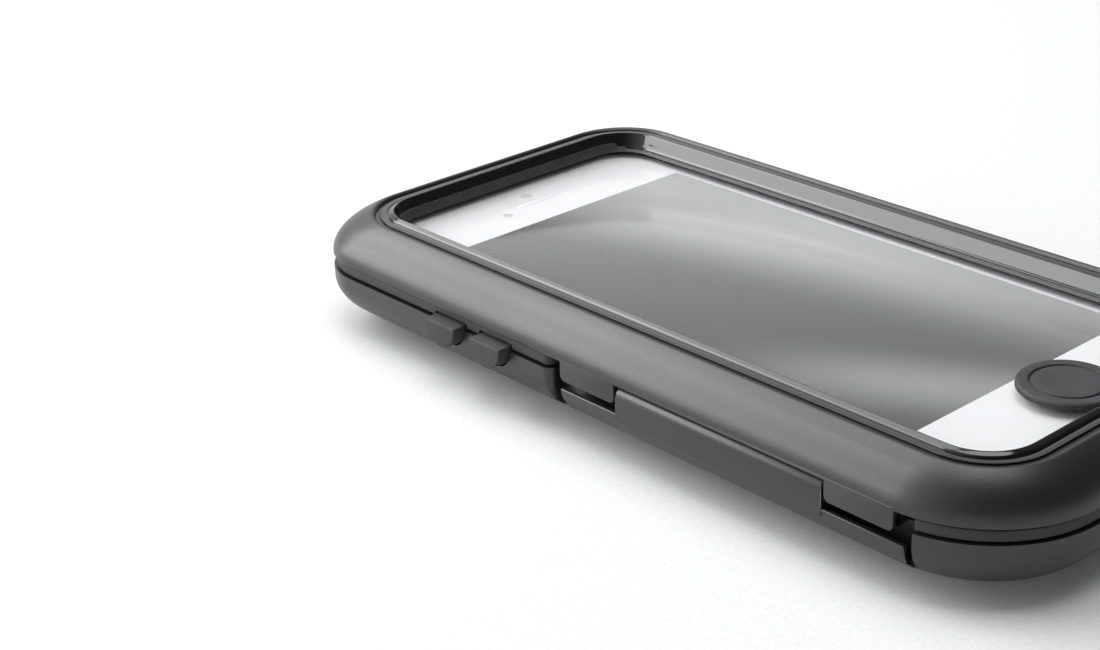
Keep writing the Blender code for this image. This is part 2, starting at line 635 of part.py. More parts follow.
def make_latch():
    """The long latch flap, hung on a pin between the frame's lugs."""
    inner_y = LATCH_AXIS_Y + LATCH_KNUCKLE_RADIUS
    plate_top = SKIRT_Z - LUG_DROP - LUG_CLEARANCE
    centre_y = -HALF_WIDTH + SHELL_EDGE_RADIUS
    centre_z = BACK_Z + SHELL_EDGE_RADIUS
    start_angle = math.asin(max(0.0, (centre_z - plate_top) / SHELL_EDGE_RADIUS))
    end_angle = math.acos((centre_y - inner_y) / SHELL_EDGE_RADIUS)
    outline = [(inner_y, plate_top)]
    if plate_top > centre_z:
        outline.append((-HALF_WIDTH, plate_top))
    for step in range(EDGE_STEPS + 1):
        angle = start_angle + (end_angle - start_angle) * step / EDGE_STEPS
        y = centre_y - SHELL_EDGE_RADIUS * math.cos(angle)
        outline.append((y, centre_z - SHELL_EDGE_RADIUS * math.sin(angle)))
    flap = prism("latch_flap", outline, "X", LATCH_START, LATCH_END, BLACK_PLASTIC)

    start = LATCH_START + LUG_WIDTH + RUNNING_FIT
    end = RIGHT_LUG_END - LUG_WIDTH - RUNNING_FIT
    web_low = (start, -HALF_WIDTH, plate_top - FIT)
    carve(flap, box("flap_web_guide", web_low, (end, inner_y, LATCH_AXIS_Z)), "UNION")
    knuckle = circle(LATCH_AXIS_Y, LATCH_AXIS_Z, LATCH_KNUCKLE_RADIUS)
    carve(flap, prism("flap_knuckle_guide", knuckle, "X", start, end), "UNION")
    bore = circle(LATCH_AXIS_Y, LATCH_AXIS_Z, LATCH_PIN_RADIUS + RUNNING_FIT, SMALL_STEPS)
    carve(flap, prism("flap_bore_cutter", bore, "X", start - FIT, end + FIT))

    catch_x = (LATCH_START + LATCH_END) / 2
    catch_z = RIM_Z - CATCH_FROM_TOP
    half = CATCH_LENGTH / 2 + FIT
    depth = POCKET_Y - CATCH_PROUD - FIT
    reach = CATCH_HEIGHT / 2 + CATCH_PROUD + FIT
    groove_outline = (
        (inner_y + FIT, catch_z + reach + FIT),
        (depth, catch_z + CATCH_HEIGHT / 2 + FIT),
        (depth, BACK_Z - FIT),
        (inner_y + FIT, BACK_Z - FIT),
    )
    carve(flap, prism("flap_groove_cutter", groove_outline, "X", catch_x - half, catch_x + half))

    pin_outline = circle(LATCH_AXIS_Y, LATCH_AXIS_Z, LATCH_PIN_RADIUS, SMALL_STEPS)
    pin = prism("latch_pin", pin_outline, "X", LATCH_START + FIT, RIGHT_LUG_END + LATCH_PIN_PROUD, STEEL)
    return flap, pin


def make_hinge_pin():
    """The long pin of the far hinge, with a flat head at each end."""
    reach = HINGE_CENTRE_LENGTH / 2 + RUNNING_FIT + HINGE_SIDE_LENGTH + FIT
    pin_outline = circle(HINGE_AXIS_Y, HINGE_AXIS_Z, HINGE_PIN_RADIUS)
    pin = prism("hinge_pin", pin_outline, "X", -reach - HINGE_HEAD, reach + HINGE_HEAD, STEEL)
    head = circle(HINGE_AXIS_Y, HINGE_AXIS_Z, HINGE_PIN_RADIUS * 1.6)
    for number, side in enumerate((-1, 1), start=1):
        ends = sorted((side * reach, side * (reach + HINGE_HEAD)))
        carve(pin, prism(f"hinge_pin_head_guide_{number}", head, "X", *ends), "UNION")
    return pin


def make_phone():
    """The plain handset in the case: body, white face, display, dots, earpiece and side keys."""
    def level(inset, z):
        half_length = PHONE_LENGTH / 2 - inset
        half_width = PHONE_WIDTH / 2 - inset
        return rounded_loop(half_length, half_width, PHONE_CORNER - inset, z, PHONE_SHIFT)

    face_z = PHONE_TOP_Z - FACE_THICKNESS
    body_top = face_z - FIT
    body_loops = (
        level(PHONE_EDGE, PHONE_Z),
        level(0.0, PHONE_Z + PHONE_EDGE),
        level(0.0, body_top - PHONE_EDGE),
        level(PHONE_EDGE, body_top),
    )
    body = loft("phone_body", body_loops, ALUMINIUM)
    face = loft("phone_face", (level(FACE_INSET, face_z), level(FACE_INSET, PHONE_TOP_Z)), WHITE_GLASS)

    recess_z = PHONE_TOP_Z - DISPLAY_THICKNESS - FIT
    half_length = DISPLAY_LENGTH / 2
    half_width = DISPLAY_WIDTH / 2
    low = (PHONE_SHIFT - half_length, -half_width, PHONE_TOP_Z - DISPLAY_THICKNESS)
    high = (PHONE_SHIFT + half_length, half_width, PHONE_TOP_Z)
    display = box("phone_display", low, high, DARK_GLASS)
    cut_low = (low[0] - FIT, low[1] - FIT, recess_z)
    cut_high = (high[0] + FIT, high[1] + FIT, PHONE_TOP_Z + FIT)
    carve(face, box("display_recess_cutter", cut_low, cut_high))

    top_x = PHONE_SHIFT - PHONE_LENGTH / 2
    inlay_z = PHONE_TOP_Z - INLAY_DEPTH
    camera_x = top_x + CAMERA_FROM_TOP
    camera = prism("phone_camera", circle(camera_x, 0.0, CAMERA_RADIUS), "Z", inlay_z, PHONE_TOP_Z, DARK_GLASS)
    sensor_place = (top_x + SENSOR_FROM_TOP, -SENSOR_OFFSET)
    sensor = prism("phone_sensor", circle(*sensor_place, SENSOR_RADIUS), "Z", inlay_z, PHONE_TOP_Z, DARK_GLASS)
    ear_x = top_x + EARPIECE_FROM_TOP
    ear_half = EARPIECE_LENGTH / 2 - EARPIECE_WIDTH / 2

    def slot(margin):
        radius = EARPIECE_WIDTH / 2 + margin
        points = []
        for side, start in ((1, 0), (-1, 180)):
            for step in range(7):
                angle = math.radians(start + 180 * step / 6)
                points.append((ear_x + radius * math.cos(angle), side * ear_half + radius * math.sin(angle)))
        return points

    earpiece = prism("phone_earpiece", slot(0.0), "Z", inlay_z, PHONE_TOP_Z, STEEL)
    cuts = (
        ("camera_cutter", circle(camera_x, 0.0, CAMERA_RADIUS + FIT)),
        ("sensor_cutter", circle(*sensor_place, SENSOR_RADIUS + FIT)),
        ("earpiece_cutter", slot(FIT)),
    )
    for name, outline in cuts:
        carve(face, prism(name, outline, "Z", inlay_z - FIT, PHONE_TOP_Z + FIT))

    pieces = [body, face, display, camera, sensor, earpiece]
    key_z = BUTTON_TOP_Z - BUTTON_DROP / 2
    side_y = -PHONE_WIDTH / 2
    for name, centre_x in zip(("phone_volume_up_key", "phone_volume_down_key"), BUTTON_X):
        key = prism(name, circle(centre_x, key_z, KEY_RADIUS), "Y", side_y - KEY_PROUD, side_y + KEY_SINK, ALUMINIUM)
        hole = circle(centre_x, key_z, KEY_RADIUS + FIT)
        carve(body, prism(name + "_cutter", hole, "Y", side_y - FIT, side_y + KEY_SINK + FIT))
        pieces.append(key)
    return pieces


def main():
    """Build the whole case."""
    clear_scene()
    lid_axis = add_axis("lid_axis", Vector((0.0, HINGE_AXIS_Y, HINGE_AXIS_Z)))
    latch_axis = add_axis("latch_axis", Vector((0.0, LATCH_AXIS_Y, LATCH_AXIS_Z)))
    make_rear_shell()
    make_plate()
    make_tray()
    make_buttons()
    make_phone()
    make_hinge_pin()
    frame = make_frame()
    membrane, gasket, bezel = make_window()
    home = make_home_button()
    flap, pin = make_latch()
    hang((frame, membrane, gasket, bezel, home, pin), lid_axis)
    hang((flap,), latch_axis)


main()
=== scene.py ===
"""Looks of a hard handset case for a bicycle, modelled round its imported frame.

The case lies on its back plate with Z up. X runs along the handset, with its top end towards -X, and the
latch is on the -Y side. Every size is in metres.
"""

import math

import bmesh
import bpy
from bpy.props import FloatProperty, FloatVectorProperty, IntProperty, PointerProperty
from mathutils import Matrix, Vector


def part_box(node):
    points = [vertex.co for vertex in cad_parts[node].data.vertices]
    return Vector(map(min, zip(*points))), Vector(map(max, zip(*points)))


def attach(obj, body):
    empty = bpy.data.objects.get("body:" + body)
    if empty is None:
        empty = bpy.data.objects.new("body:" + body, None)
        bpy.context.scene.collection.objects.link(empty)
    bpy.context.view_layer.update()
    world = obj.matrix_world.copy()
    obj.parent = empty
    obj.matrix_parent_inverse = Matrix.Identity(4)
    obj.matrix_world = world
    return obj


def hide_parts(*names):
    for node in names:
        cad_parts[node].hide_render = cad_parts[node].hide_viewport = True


bl_info = {
    "name": "Bicycle Handset Case",
    "version": (1, 0, 0),
    "blender": (4, 5, 0),
    "location": "3D View > Sidebar > Case",
    "description": "Models the pieces of a hard bicycle case for a handset round its frame",
    "category": "Add Mesh",
}

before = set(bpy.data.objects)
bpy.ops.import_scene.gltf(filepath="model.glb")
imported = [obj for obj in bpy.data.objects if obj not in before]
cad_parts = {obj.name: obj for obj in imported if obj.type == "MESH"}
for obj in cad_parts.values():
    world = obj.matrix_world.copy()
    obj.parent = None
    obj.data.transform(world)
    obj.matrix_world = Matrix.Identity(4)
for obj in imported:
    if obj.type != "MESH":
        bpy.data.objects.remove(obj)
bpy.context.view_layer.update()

MM = 0.001
FIT = 0.3 * MM
MERGE = 0.004 * MM
HAIR = 0.001 * MM

# Places that the frame gives
FRAME_LOW, FRAME_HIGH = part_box("front_frame")
SHELL_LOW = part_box("rear_shell")[0]
TRAY_LOW, TRAY_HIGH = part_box("silicone_tray")
BEZEL_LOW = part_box("bezel_ring")[0]
GASKET_LOW, GASKET_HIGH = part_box("window_gasket")
MEMBRANE_LOW, MEMBRANE_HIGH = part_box("window_membrane")
HOME_LOW, HOME_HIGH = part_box("home_button")
FLAP_LOW, FLAP_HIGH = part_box("latch_flap")
PLATE_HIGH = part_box("mount_plate")[1]
BODY_LOW, BODY_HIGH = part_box("phone_body")
FACE_LOW, FACE_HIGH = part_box("phone_face")
DISPLAY_LOW, DISPLAY_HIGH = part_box("phone_display")
LATCH_PIN_LOW, LATCH_PIN_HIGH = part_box("latch_pin")
HINGE_PIN_LOW, HINGE_PIN_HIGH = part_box("hinge_pin")

# Levels and insets from the outer wall
HALF_LENGTH = FRAME_HIGH.x
HALF_WIDTH = -FRAME_LOW.y
NEAR_Y = FRAME_LOW.y
RIM_Z = 9.8 * MM
SKIRT_Z = 12.0 * MM
SKIRT_INNER = 5.4 * MM
RING_UNDER_Z = 14.5 * MM
LEDGE_Z = 15.8 * MM
LEDGE_INNER = 6.8 * MM
FRAME_INNER = 5.2 * MM
SLOT_INSET = 5.5 * MM
SLOT_OUTER = 6.3 * MM
SLOT_Z = 17.55 * MM
BEZEL_OUTER = 6.4 * MM
WINDOW_INSET = 7.1 * MM
CAVITY = 4.2 * MM
CAVITY_Z = 4.9 * MM
TRAY_OUTER = 4.5 * MM
TRAY_INNER = 6.4 * MM
TRAY_FLOOR_Z = 6.3 * MM
BAND_SUNK = 0.4 * MM
BAND_LOW_Z = 10.1 * MM

# Latch and hinge
LATCH_Y = (LATCH_PIN_LOW.y + LATCH_PIN_HIGH.y) / 2
LATCH_Z = (LATCH_PIN_LOW.z + LATCH_PIN_HIGH.z) / 2
LATCH_BORE = 0.85 * MM
LATCH_INNER_Y = FLAP_HIGH.y
KNUCKLE_RADIUS = LATCH_INNER_Y - LATCH_Y
LUGS = ((-7.3 * MM, 3.7 * MM), (41.4 * MM, 52.4 * MM))
POCKET_Y = -33.1 * MM
POCKET_START = -9.5 * MM
POCKET_END = FLAP_HIGH.x + 0.9 * MM
POCKET_ROUND = 1.7 * MM
CATCH_X = (FLAP_LOW.x + FLAP_HIGH.x) / 2
CATCH_HALF = 11.0 * MM
CATCH_BUMP = 0.7 * MM
CATCH_TOP_Z = 6.1 * MM
HINGE_Y = (HINGE_PIN_LOW.y + HINGE_PIN_HIGH.y) / 2
HINGE_Z = (HINGE_PIN_LOW.z + HINGE_PIN_HIGH.z) / 2
HINGE_BORE = 1.1 * MM
BARREL_RADIUS = 2.1 * MM
BARREL_MIDDLE = 18.0 * MM
BARREL_END = 32.3 * MM

# Buttons and screws
BUTTONS = (("volume_up_button", "volume_up", -32.0 * MM), ("volume_down_button", "volume_down", -21.7 * MM))
BUTTON_WIDTH = 6.8 * MM
BUTTON_LOW_Z = 6.8 * MM
BUTTON_TOP_Z = 10.6 * MM
BUTTON_CORNER = 3.3 * MM
FLANGE = 0.9 * MM
FLANGE_INNER_Y = -32.6 * MM
FLANGE_OUTER_Y = -33.5 * MM
STEM_START_Y = -33.0 * MM
STEM_Z = 8.7 * MM
HOME_X = (HOME_LOW.x + HOME_HIGH.x) / 2
SCREW_HOLE = 1.4 * MM
SCREWS = ((-54.0 * MM, -16.0 * MM), (54.0 * MM, -16.0 * MM), (54.0 * MM, 16.0 * MM), (-54.0 * MM, 16.0 * MM))


def length_setting(name, description, default, least=0.0):
    """Return a length that a user may change."""
    return FloatProperty(name=name, description=description, default=default, min=least, unit="LENGTH")


def colour_setting(name, description, default):
    """Return a colour that a user may change."""
    return FloatVectorProperty(
        name=name, description=description, default=default, subtype="COLOR", min=0.0, max=1.0)


class CaseSizes(bpy.types.PropertyGroup):
    """Sizes of the case that a user may change."""

    corner_radius: length_setting(
        "Corner radius", "Radius that the corners round the window start from in plan", 16.0 * MM, 11.0 * MM)
    top_corner: length_setting("Top corner", "Radius of the outer corners at the top", 12.0 * MM, 9.0 * MM)
    bottom_corner: length_setting(
        "Bottom corner", "Radius of the outer corners at the bottom", 18.0 * MM, 9.0 * MM)
    corner_steps: IntProperty(
        name="Corner steps", description="Faces round each corner of the case", default=24, min=6, max=64)
    shoulder: length_setting("Shoulder", "Radius across the front frame's shoulder", 12.0 * MM, 6.0 * MM)
    bottom_radius: length_setting("Bottom radius", "Radius of the shell's lower edge", 5.0 * MM, 1.0 * MM)
    edge: length_setting("Edge", "Width of the small rounds on moulded edges", 0.22 * MM, 0.02 * MM)
    crest: length_setting("Crest", "Round on the front frame's top inner edge", 0.6 * MM)
    grain: length_setting("Grain", "Size of the grain in the moulded plastic", 0.32 * MM)
    button_edge: length_setting("Button edge", "Chamfer round the faces of the side buttons", 0.14 * MM)


class CaseColours(bpy.types.PropertyGroup):
    """Colours of the case's finishes."""

    shell: colour_setting("Shell", "Satin plastic of the shell, frame and latch", (0.016, 0.016, 0.017))
    bezel: colour_setting("Bezel", "Glossy plastic round the window", (0.010, 0.010, 0.011))
    silicone: colour_setting("Silicone", "Rubber of the tray and the buttons", (0.036, 0.036, 0.038))
    gasket: colour_setting("Gasket", "Foam strip round the window", (0.045, 0.045, 0.046))
    face: colour_setting("Handset face", "White glass of the handset", (0.79, 0.79, 0.80))
    # The display's dark and light tones are the two ends of the painted reflection and painted highlight on
    # the display.
    display_painted_shade: colour_setting("Display, dark", "Darkest tone of the picture", (0.068, 0.068, 0.069))
    display_painted_reflection: colour_setting("Display, light", "Lightest tone of the picture", (0.62, 0.62, 0.625))
    metal: colour_setting("Metal", "Aluminium of the handset's side", (0.62, 0.62, 0.64))
    steel: colour_setting("Steel", "Pins and screws", (0.52, 0.52, 0.53))


def sizes():
    """Return the scene's case sizes."""
    return bpy.context.scene.case_sizes


def colours():
    """Return the scene's case colours."""
    return bpy.context.scene.case_colours


# Modelling


def deselect():
    """Leave edit mode and deselect every object."""
    if bpy.context.mode != "OBJECT":
        bpy.ops.object.mode_set(mode="OBJECT")
    bpy.ops.object.select_all(action="DESELECT")


def activate(piece):
    """Select one piece alone and make it the active one."""
    deselect()
    piece.select_set(True)
    bpy.context.view_layer.objects.active = piece


def open_mesh(piece):
    """Go into edit mode on one piece alone."""
    activate(piece)
    bpy.ops.object.mode_set(mode="EDIT")


def close_mesh():
    """Go back to object mode."""
    bpy.ops.object.mode_set(mode="OBJECT")


def pick(piece, kind, test):
    """Select the corners, edges or faces of the open piece that pass a test."""
    modes = {"verts": "VERT", "edges": "EDGE", "faces": "FACE"}
    bpy.ops.mesh.select_mode(type=modes[kind])
    bpy.ops.mesh.select_all(action="DESELECT")
    mesh = bmesh.from_edit_mesh(piece.data)
    for part in getattr(mesh, kind):
        if test(part):
            part.select_set(True)
    mesh.select_flush_mode()
    bmesh.update_edit_mesh(piece.data)


def settle(name):
    """Name the object just made, put its place, turn and scale into its mesh, and return it."""
    piece = bpy.context.object
    piece.name = name
    bpy.ops.object.transform_apply(location=True, rotation=True, scale=True)
    return piece


def lay_sheet(name, half_length, half_width, radius, z, centre=(0.0, 0.0), steps=None):
    """Start a piece as a level sheet with round corners, open in edit mode with its face selected."""
    deselect()
    bpy.ops.mesh.primitive_plane_add(size=1.0)
    piece = bpy.context.object
    piece.name = name
    open_mesh(piece)
    bpy.ops.mesh.select_all(action="SELECT")
    bpy.ops.transform.resize(value=(2 * half_length, 2 * half_width, 1.0))
    bpy.ops.transform.translate(value=(centre[0], centre[1], z))
    bpy.ops.mesh.bevel(
        affect="VERTICES", offset_type="OFFSET", offset=radius, profile=0.5,
        segments=steps or sizes().corner_steps)
    pick(piece, "faces", lambda face: True)
    return piece


def lay_disc(name, radius, z, centre, steps=48):
    """Start a piece as a level disc, open in edit mode with its face selected."""
    deselect()
    bpy.ops.mesh.primitive_circle_add(
        vertices=steps, radius=radius, fill_type="NGON", location=(centre[0], centre[1], z))
    piece = settle(name)
    open_mesh(piece)
    pick(piece, "faces", lambda face: True)
    return piece


def step_in(levels, facing, cap):
    """Inset the selected face through pairs of inset and height, and keep or take out the last face."""
    if facing < 0:
        bpy.ops.mesh.flip_normals()
    for (before, low), (after, high) in zip(levels, levels[1:]):
        bpy.ops.mesh.inset(
            thickness=max(0.0, after - before), depth=facing * (high - low),
            use_even_offset=True, use_boundary=True)
    if not cap:
        bpy.ops.mesh.delete(type="FACE")
    close_mesh()


def join(name, pieces):
    """Join bands that share their outer loop into one closed piece with outward faces."""
    deselect()
    for piece in pieces:
        piece.select_set(True)
    bpy.context.view_layer.objects.active = pieces[0]
    bpy.ops.object.join()
    whole = pieces[0]
    whole.name = name
    open_mesh(whole)
    bpy.ops.mesh.select_all(action="SELECT")
    bpy.ops.mesh.remove_doubles(threshold=MERGE)
    bpy.ops.mesh.normals_make_consistent(inside=False)
    close_mesh()
    return whole


def fill_corners(piece):
    """Give the outer surfaces' corners their own radii, tighter at the top end, wider at the bottom."""
    inner = sizes().corner_radius
    slack = 0.05 * MM
    open_mesh(piece)
    mesh = bmesh.from_edit_mesh(piece.data)
    for vert in mesh.verts:
        x, y = abs(vert.co.x) - HALF_LENGTH + inner, abs(vert.co.y) - HALF_WIDTH + inner
        if x < -slack or y < -slack:
            continue
        inset = inner - math.hypot(max(x, 0.0), max(y, 0.0))
        if inset < FRAME_INNER:
            outer = sizes().bottom_corner if vert.co.x > 0 else sizes().top_corner
            angle = math.atan2(max(y, 0.0), max(x, 0.0))
            radius = inner - inset + (outer - inner) * (1 - inset / FRAME_INNER)
            vert.co.x = math.copysign(HALF_LENGTH - inset - radius + radius * math.cos(angle), vert.co.x)
            vert.co.y = math.copysign(HALF_WIDTH - inset - radius + radius * math.sin(angle), vert.co.y)
    bmesh.update_edit_mesh(piece.data)
    close_mesh()


def case_body(name, upper, under, caps):
    """Model a piece that follows the case's outline from its levels, above and below its outer loop."""
    bands = []
    for number, (levels, facing) in enumerate(((upper, 1), (under, -1))):
        inset, z = levels[0]
        band = lay_sheet(f"{name}_band_{number}", HALF_LENGTH - inset, HALF_WIDTH - inset,
                         sizes().corner_radius - inset, z)
        step_in(levels, facing, caps)
        bands.append(band)
    whole = join(name, bands)
    fill_corners(whole)
    return whole


def block(name, low, high):
    """Model a box between two corners."""
    deselect()
    bpy.ops.mesh.primitive_cube_add(size=1.0)
    box = bpy.context.object
    box.scale = Vector(high) - Vector(low)
    box.location = (Vector(high) + Vector(low)) / 2
    return settle(name)


def cylinder(name, radius, length, middle, turn, steps):
    """Model a round bar of one length about its middle."""
    deselect()
    bpy.ops.mesh.primitive_cylinder_add(
        vertices=steps, radius=radius, depth=length, location=middle, rotation=turn)
    return settle(name)


def bar(name, radius, start, end, y, z, steps=40):
    """Model a round bar along X."""
    return cylinder(name, radius, end - start, ((start + end) / 2, y, z), (0.0, math.pi / 2, 0.0), steps)


def peg(name, radius, start, end, x, z, steps=24):
    """Model a round bar along Y."""
    return cylinder(name, radius, end - start, (x, (start + end) / 2, z), (math.pi / 2, 0.0, 0.0), steps)


def post(name, radius, low, high, x, y, steps=40):
    """Model an upright round bar."""
    return cylinder(name, radius, high - low, (x, y, (low + high) / 2), (0.0, 0.0, 0.0), steps)


def round_edges(piece, width, segments, test=None):
    """Bevel the edges of a piece that pass a test, or all of them."""
    open_mesh(piece)
    pick(piece, "edges", test or (lambda edge: True))
    bpy.ops.mesh.bevel(offset=width, segments=segments, profile=0.5, affect="EDGES")
    close_mesh()


def apply_step(piece, kind, **settings):
    """Add one modifier to a piece and apply it."""
    activate(piece)
    step = piece.modifiers.new(kind.title(), kind)
    for name, value in settings.items():
        setattr(step, name, value)
    bpy.ops.object.modifier_apply(modifier=step.name)


def soften(piece, width, segments=3, angle=34.0, clamp=True):
    """Round every edge that turns by more than an angle."""
    apply_step(piece, "BEVEL", width=width, segments=segments, limit_method="ANGLE",
               angle_limit=math.radians(angle), use_clamp_overlap=clamp)


def carve(piece, tool, operation="DIFFERENCE"):
    """Cut a tool out of a piece, or join it on, and throw the tool away."""
    apply_step(piece, "BOOLEAN", operation=operation, solver="EXACT", object=tool)
    bpy.data.objects.remove(tool, do_unlink=True)


def clean(piece):
    """Merge what lies within a hair of each other."""
    open_mesh(piece)
    bpy.ops.mesh.select_all(action="SELECT")
    bpy.ops.mesh.remove_doubles(threshold=MERGE)
    close_mesh()


def smooth(piece, angle=32.0):
    """Shade a piece smooth, with its sharp edges kept."""
    activate(piece)
    bpy.ops.object.shade_smooth_by_angle(angle=math.radians(angle))


def finish_piece(piece, body, slot, node, angle=32.0):
    """Shade a piece, give it its finish, and hang it on its body in place of the frame's node."""
    smooth(piece, angle)
    piece.data.materials.clear()
    piece.data.materials.append(finish_for(slot))
    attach(piece, body)
    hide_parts(node)


# Finishes


def new_finish(name):
    """Return a new material with its node tree and its shader."""
    made = bpy.data.materials.new(name)
    made.use_nodes = True
    return made, made.node_tree, made.node_tree.nodes["Principled BSDF"]


def place(tree, stretch=(1.0, 1.0, 1.0)):
    """Return the object's own coordinates, stretched."""
    coordinates = tree.nodes.new("ShaderNodeTexCoord")
    mapping = tree.nodes.new("ShaderNodeMapping")
    mapping.inputs["Scale"].default_value = stretch
    tree.links.new(coordinates.outputs["Object"], mapping.inputs["Vector"])
    return mapping.outputs["Vector"]


def noise(tree, size, detail, roughness=0.55, stretch=(1.0, 1.0, 1.0)):
    """Return a noise whose blotches are about one size across."""
    made = tree.nodes.new("ShaderNodeTexNoise")
    made.inputs["Scale"].default_value = 1.0 / size
    made.inputs["Detail"].default_value = detail
    made.inputs["Roughness"].default_value = roughness
    tree.links.new(place(tree, stretch), made.inputs["Vector"])
    return made.outputs["Fac"]


def cells(tree, size):
    """Return the distance to the middle of cells of one size."""
    made = tree.nodes.new("ShaderNodeTexVoronoi")
    made.inputs["Scale"].default_value = 1.0 / size
    tree.links.new(place(tree), made.inputs["Vector"])
    return made.outputs["Distance"]


def spread(tree, value, low, high, to_low=0.0, to_high=1.0, kind="LINEAR"):
    """Map a value from one range to another."""
    made = tree.nodes.new("ShaderNodeMapRange")
    made.interpolation_type = kind
    for name, number in (("From Min", low), ("From Max", high), ("To Min", to_low), ("To Max", to_high)):
        made.inputs[name].default_value = number
    tree.links.new(value, made.inputs["Value"])
    return made.outputs["Result"]


def calculate(tree, operation, first, second):
    """Return a sum, product or other calculation on two values."""
    made = tree.nodes.new("ShaderNodeMath")
    made.operation = operation
    for number, value in enumerate((first, second)):
        if isinstance(value, (int, float)):
            made.inputs[number].default_value = value
        else:
            tree.links.new(value, made.inputs[number])
    return made.outputs["Value"]


def blend_tones(tree, factor, dark, light):
    """Return a colour between two tones."""
    made = tree.nodes.new("ShaderNodeMix")
    made.data_type = "RGBA"
    made.inputs[6].default_value = (*dark, 1.0)
    made.inputs[7].default_value = (*light, 1.0)
    tree.links.new(factor, made.inputs[0])
    return made.outputs[2]


def shade(colour, factor):
    """Return a colour made lighter or darker."""
    return tuple(min(1.0, part * factor) for part in colour)


def paint(tree, shader, factor, dark, light):
    """Colour the shader between two tones."""
    tree.links.new(blend_tones(tree, factor, dark, light), shader.inputs["Base Color"])


def tint(tree, shader, factor, colour, darker, lighter):
    """Colour the shader between two shades of one colour."""
    paint(tree, shader, factor, shade(colour, darker), shade(colour, lighter))


def polish(tree, shader, value, low, high, first, last):
    """Set the shader's roughness between two values, over a range of another value."""
    tree.links.new(spread(tree, value, low, high, first, last), shader.inputs["Roughness"])


def raise_relief(tree, shader, height, strength, distance):
    """Feed a height into the shader as relief."""
    bump = tree.nodes.new("ShaderNodeBump")
    bump.inputs["Strength"].default_value = strength
    bump.inputs["Distance"].default_value = distance
    tree.links.new(height, bump.inputs["Height"])
    tree.links.new(bump.outputs["Normal"], shader.inputs["Normal"])


def satin_plastic():
    """Moulded black plastic with a fine satin grain and a little handling polish."""
    made, tree, shader = new_finish("satin_black_plastic")
    clouds = noise(tree, 22 * MM, 4.0)
    fine = noise(tree, sizes().grain, 2.0, 0.6)
    tint(tree, shader, spread(tree, clouds, 0.3, 0.7), colours().shell, 0.9, 1.12)
    handled = spread(tree, clouds, 0.3, 0.7, 0.35, 0.40)
    grained = spread(tree, fine, 0.3, 0.7, -0.03, 0.03)
    tree.links.new(calculate(tree, "ADD", handled, grained), shader.inputs["Roughness"])
    raise_relief(tree, shader, fine, 0.3, 0.05 * MM)
    shader.inputs["IOR"].default_value = 1.6
    return made


def gloss_plastic():
    """Polished black plastic with faint smears."""
    made, tree, shader = new_finish("gloss_black_plastic")
    smears = noise(tree, 6 * MM, 5.0, stretch=(1.0, 1.0, 0.3))
    tint(tree, shader, smears, colours().bezel, 0.9, 1.1)
    polish(tree, shader, smears, 0.35, 0.7, 0.07, 0.14)
    raise_relief(tree, shader, noise(tree, 9 * MM, 1.0), 0.05, 0.2 * MM)
    shader.inputs["Coat Weight"].default_value = 0.5
    shader.inputs["Coat Roughness"].default_value = 0.05
    return made


def silicone_rubber():
    """Black silicone with a fine powdery texture."""
    made, tree, shader = new_finish("black_silicone")
    fine = noise(tree, 0.3 * MM, 3.0, 0.7)
    dust = noise(tree, 4 * MM, 6.0, 0.7)
    tint(tree, shader, spread(tree, dust, 0.35, 0.75), colours().silicone, 0.88, 1.25)
    polish(tree, shader, fine, 0.3, 0.7, 0.58, 0.74)
    raise_relief(tree, shader, fine, 0.35, 0.08 * MM)
    return made


def foam_gasket():
    """Closed-cell foam strip, nearly black."""
    made, tree, shader = new_finish("black_foam")
    pores = cells(tree, 0.35 * MM)
    tint(tree, shader, spread(tree, pores, 0.0, 0.6), colours().gasket, 0.7, 1.3)
    polish(tree, shader, pores, 0.0, 0.6, 0.62, 0.5)
    raise_relief(tree, shader, pores, 0.25, 0.06 * MM)
    return made


def clear_film():
    """Thin clear film, almost unseen, with faint smears in its gloss."""
    made, tree, shader = new_finish("clear_film")
    smears = noise(tree, 12 * MM, 4.0)
    paint(tree, shader, smears, (0.80, 0.80, 0.81), (0.90, 0.90, 0.91))
    polish(tree, shader, smears, 0.35, 0.7, 0.04, 0.09)
    shader.inputs["Alpha"].default_value = 0.05
    return made


def white_glass():
    """White painted glass."""
    made, tree, shader = new_finish("white_glass")
    clouds = noise(tree, 30 * MM, 2.0)
    tint(tree, shader, clouds, colours().face, 0.98, 1.02)
    polish(tree, shader, clouds, 0.3, 0.7, 0.10, 0.16)
    return made


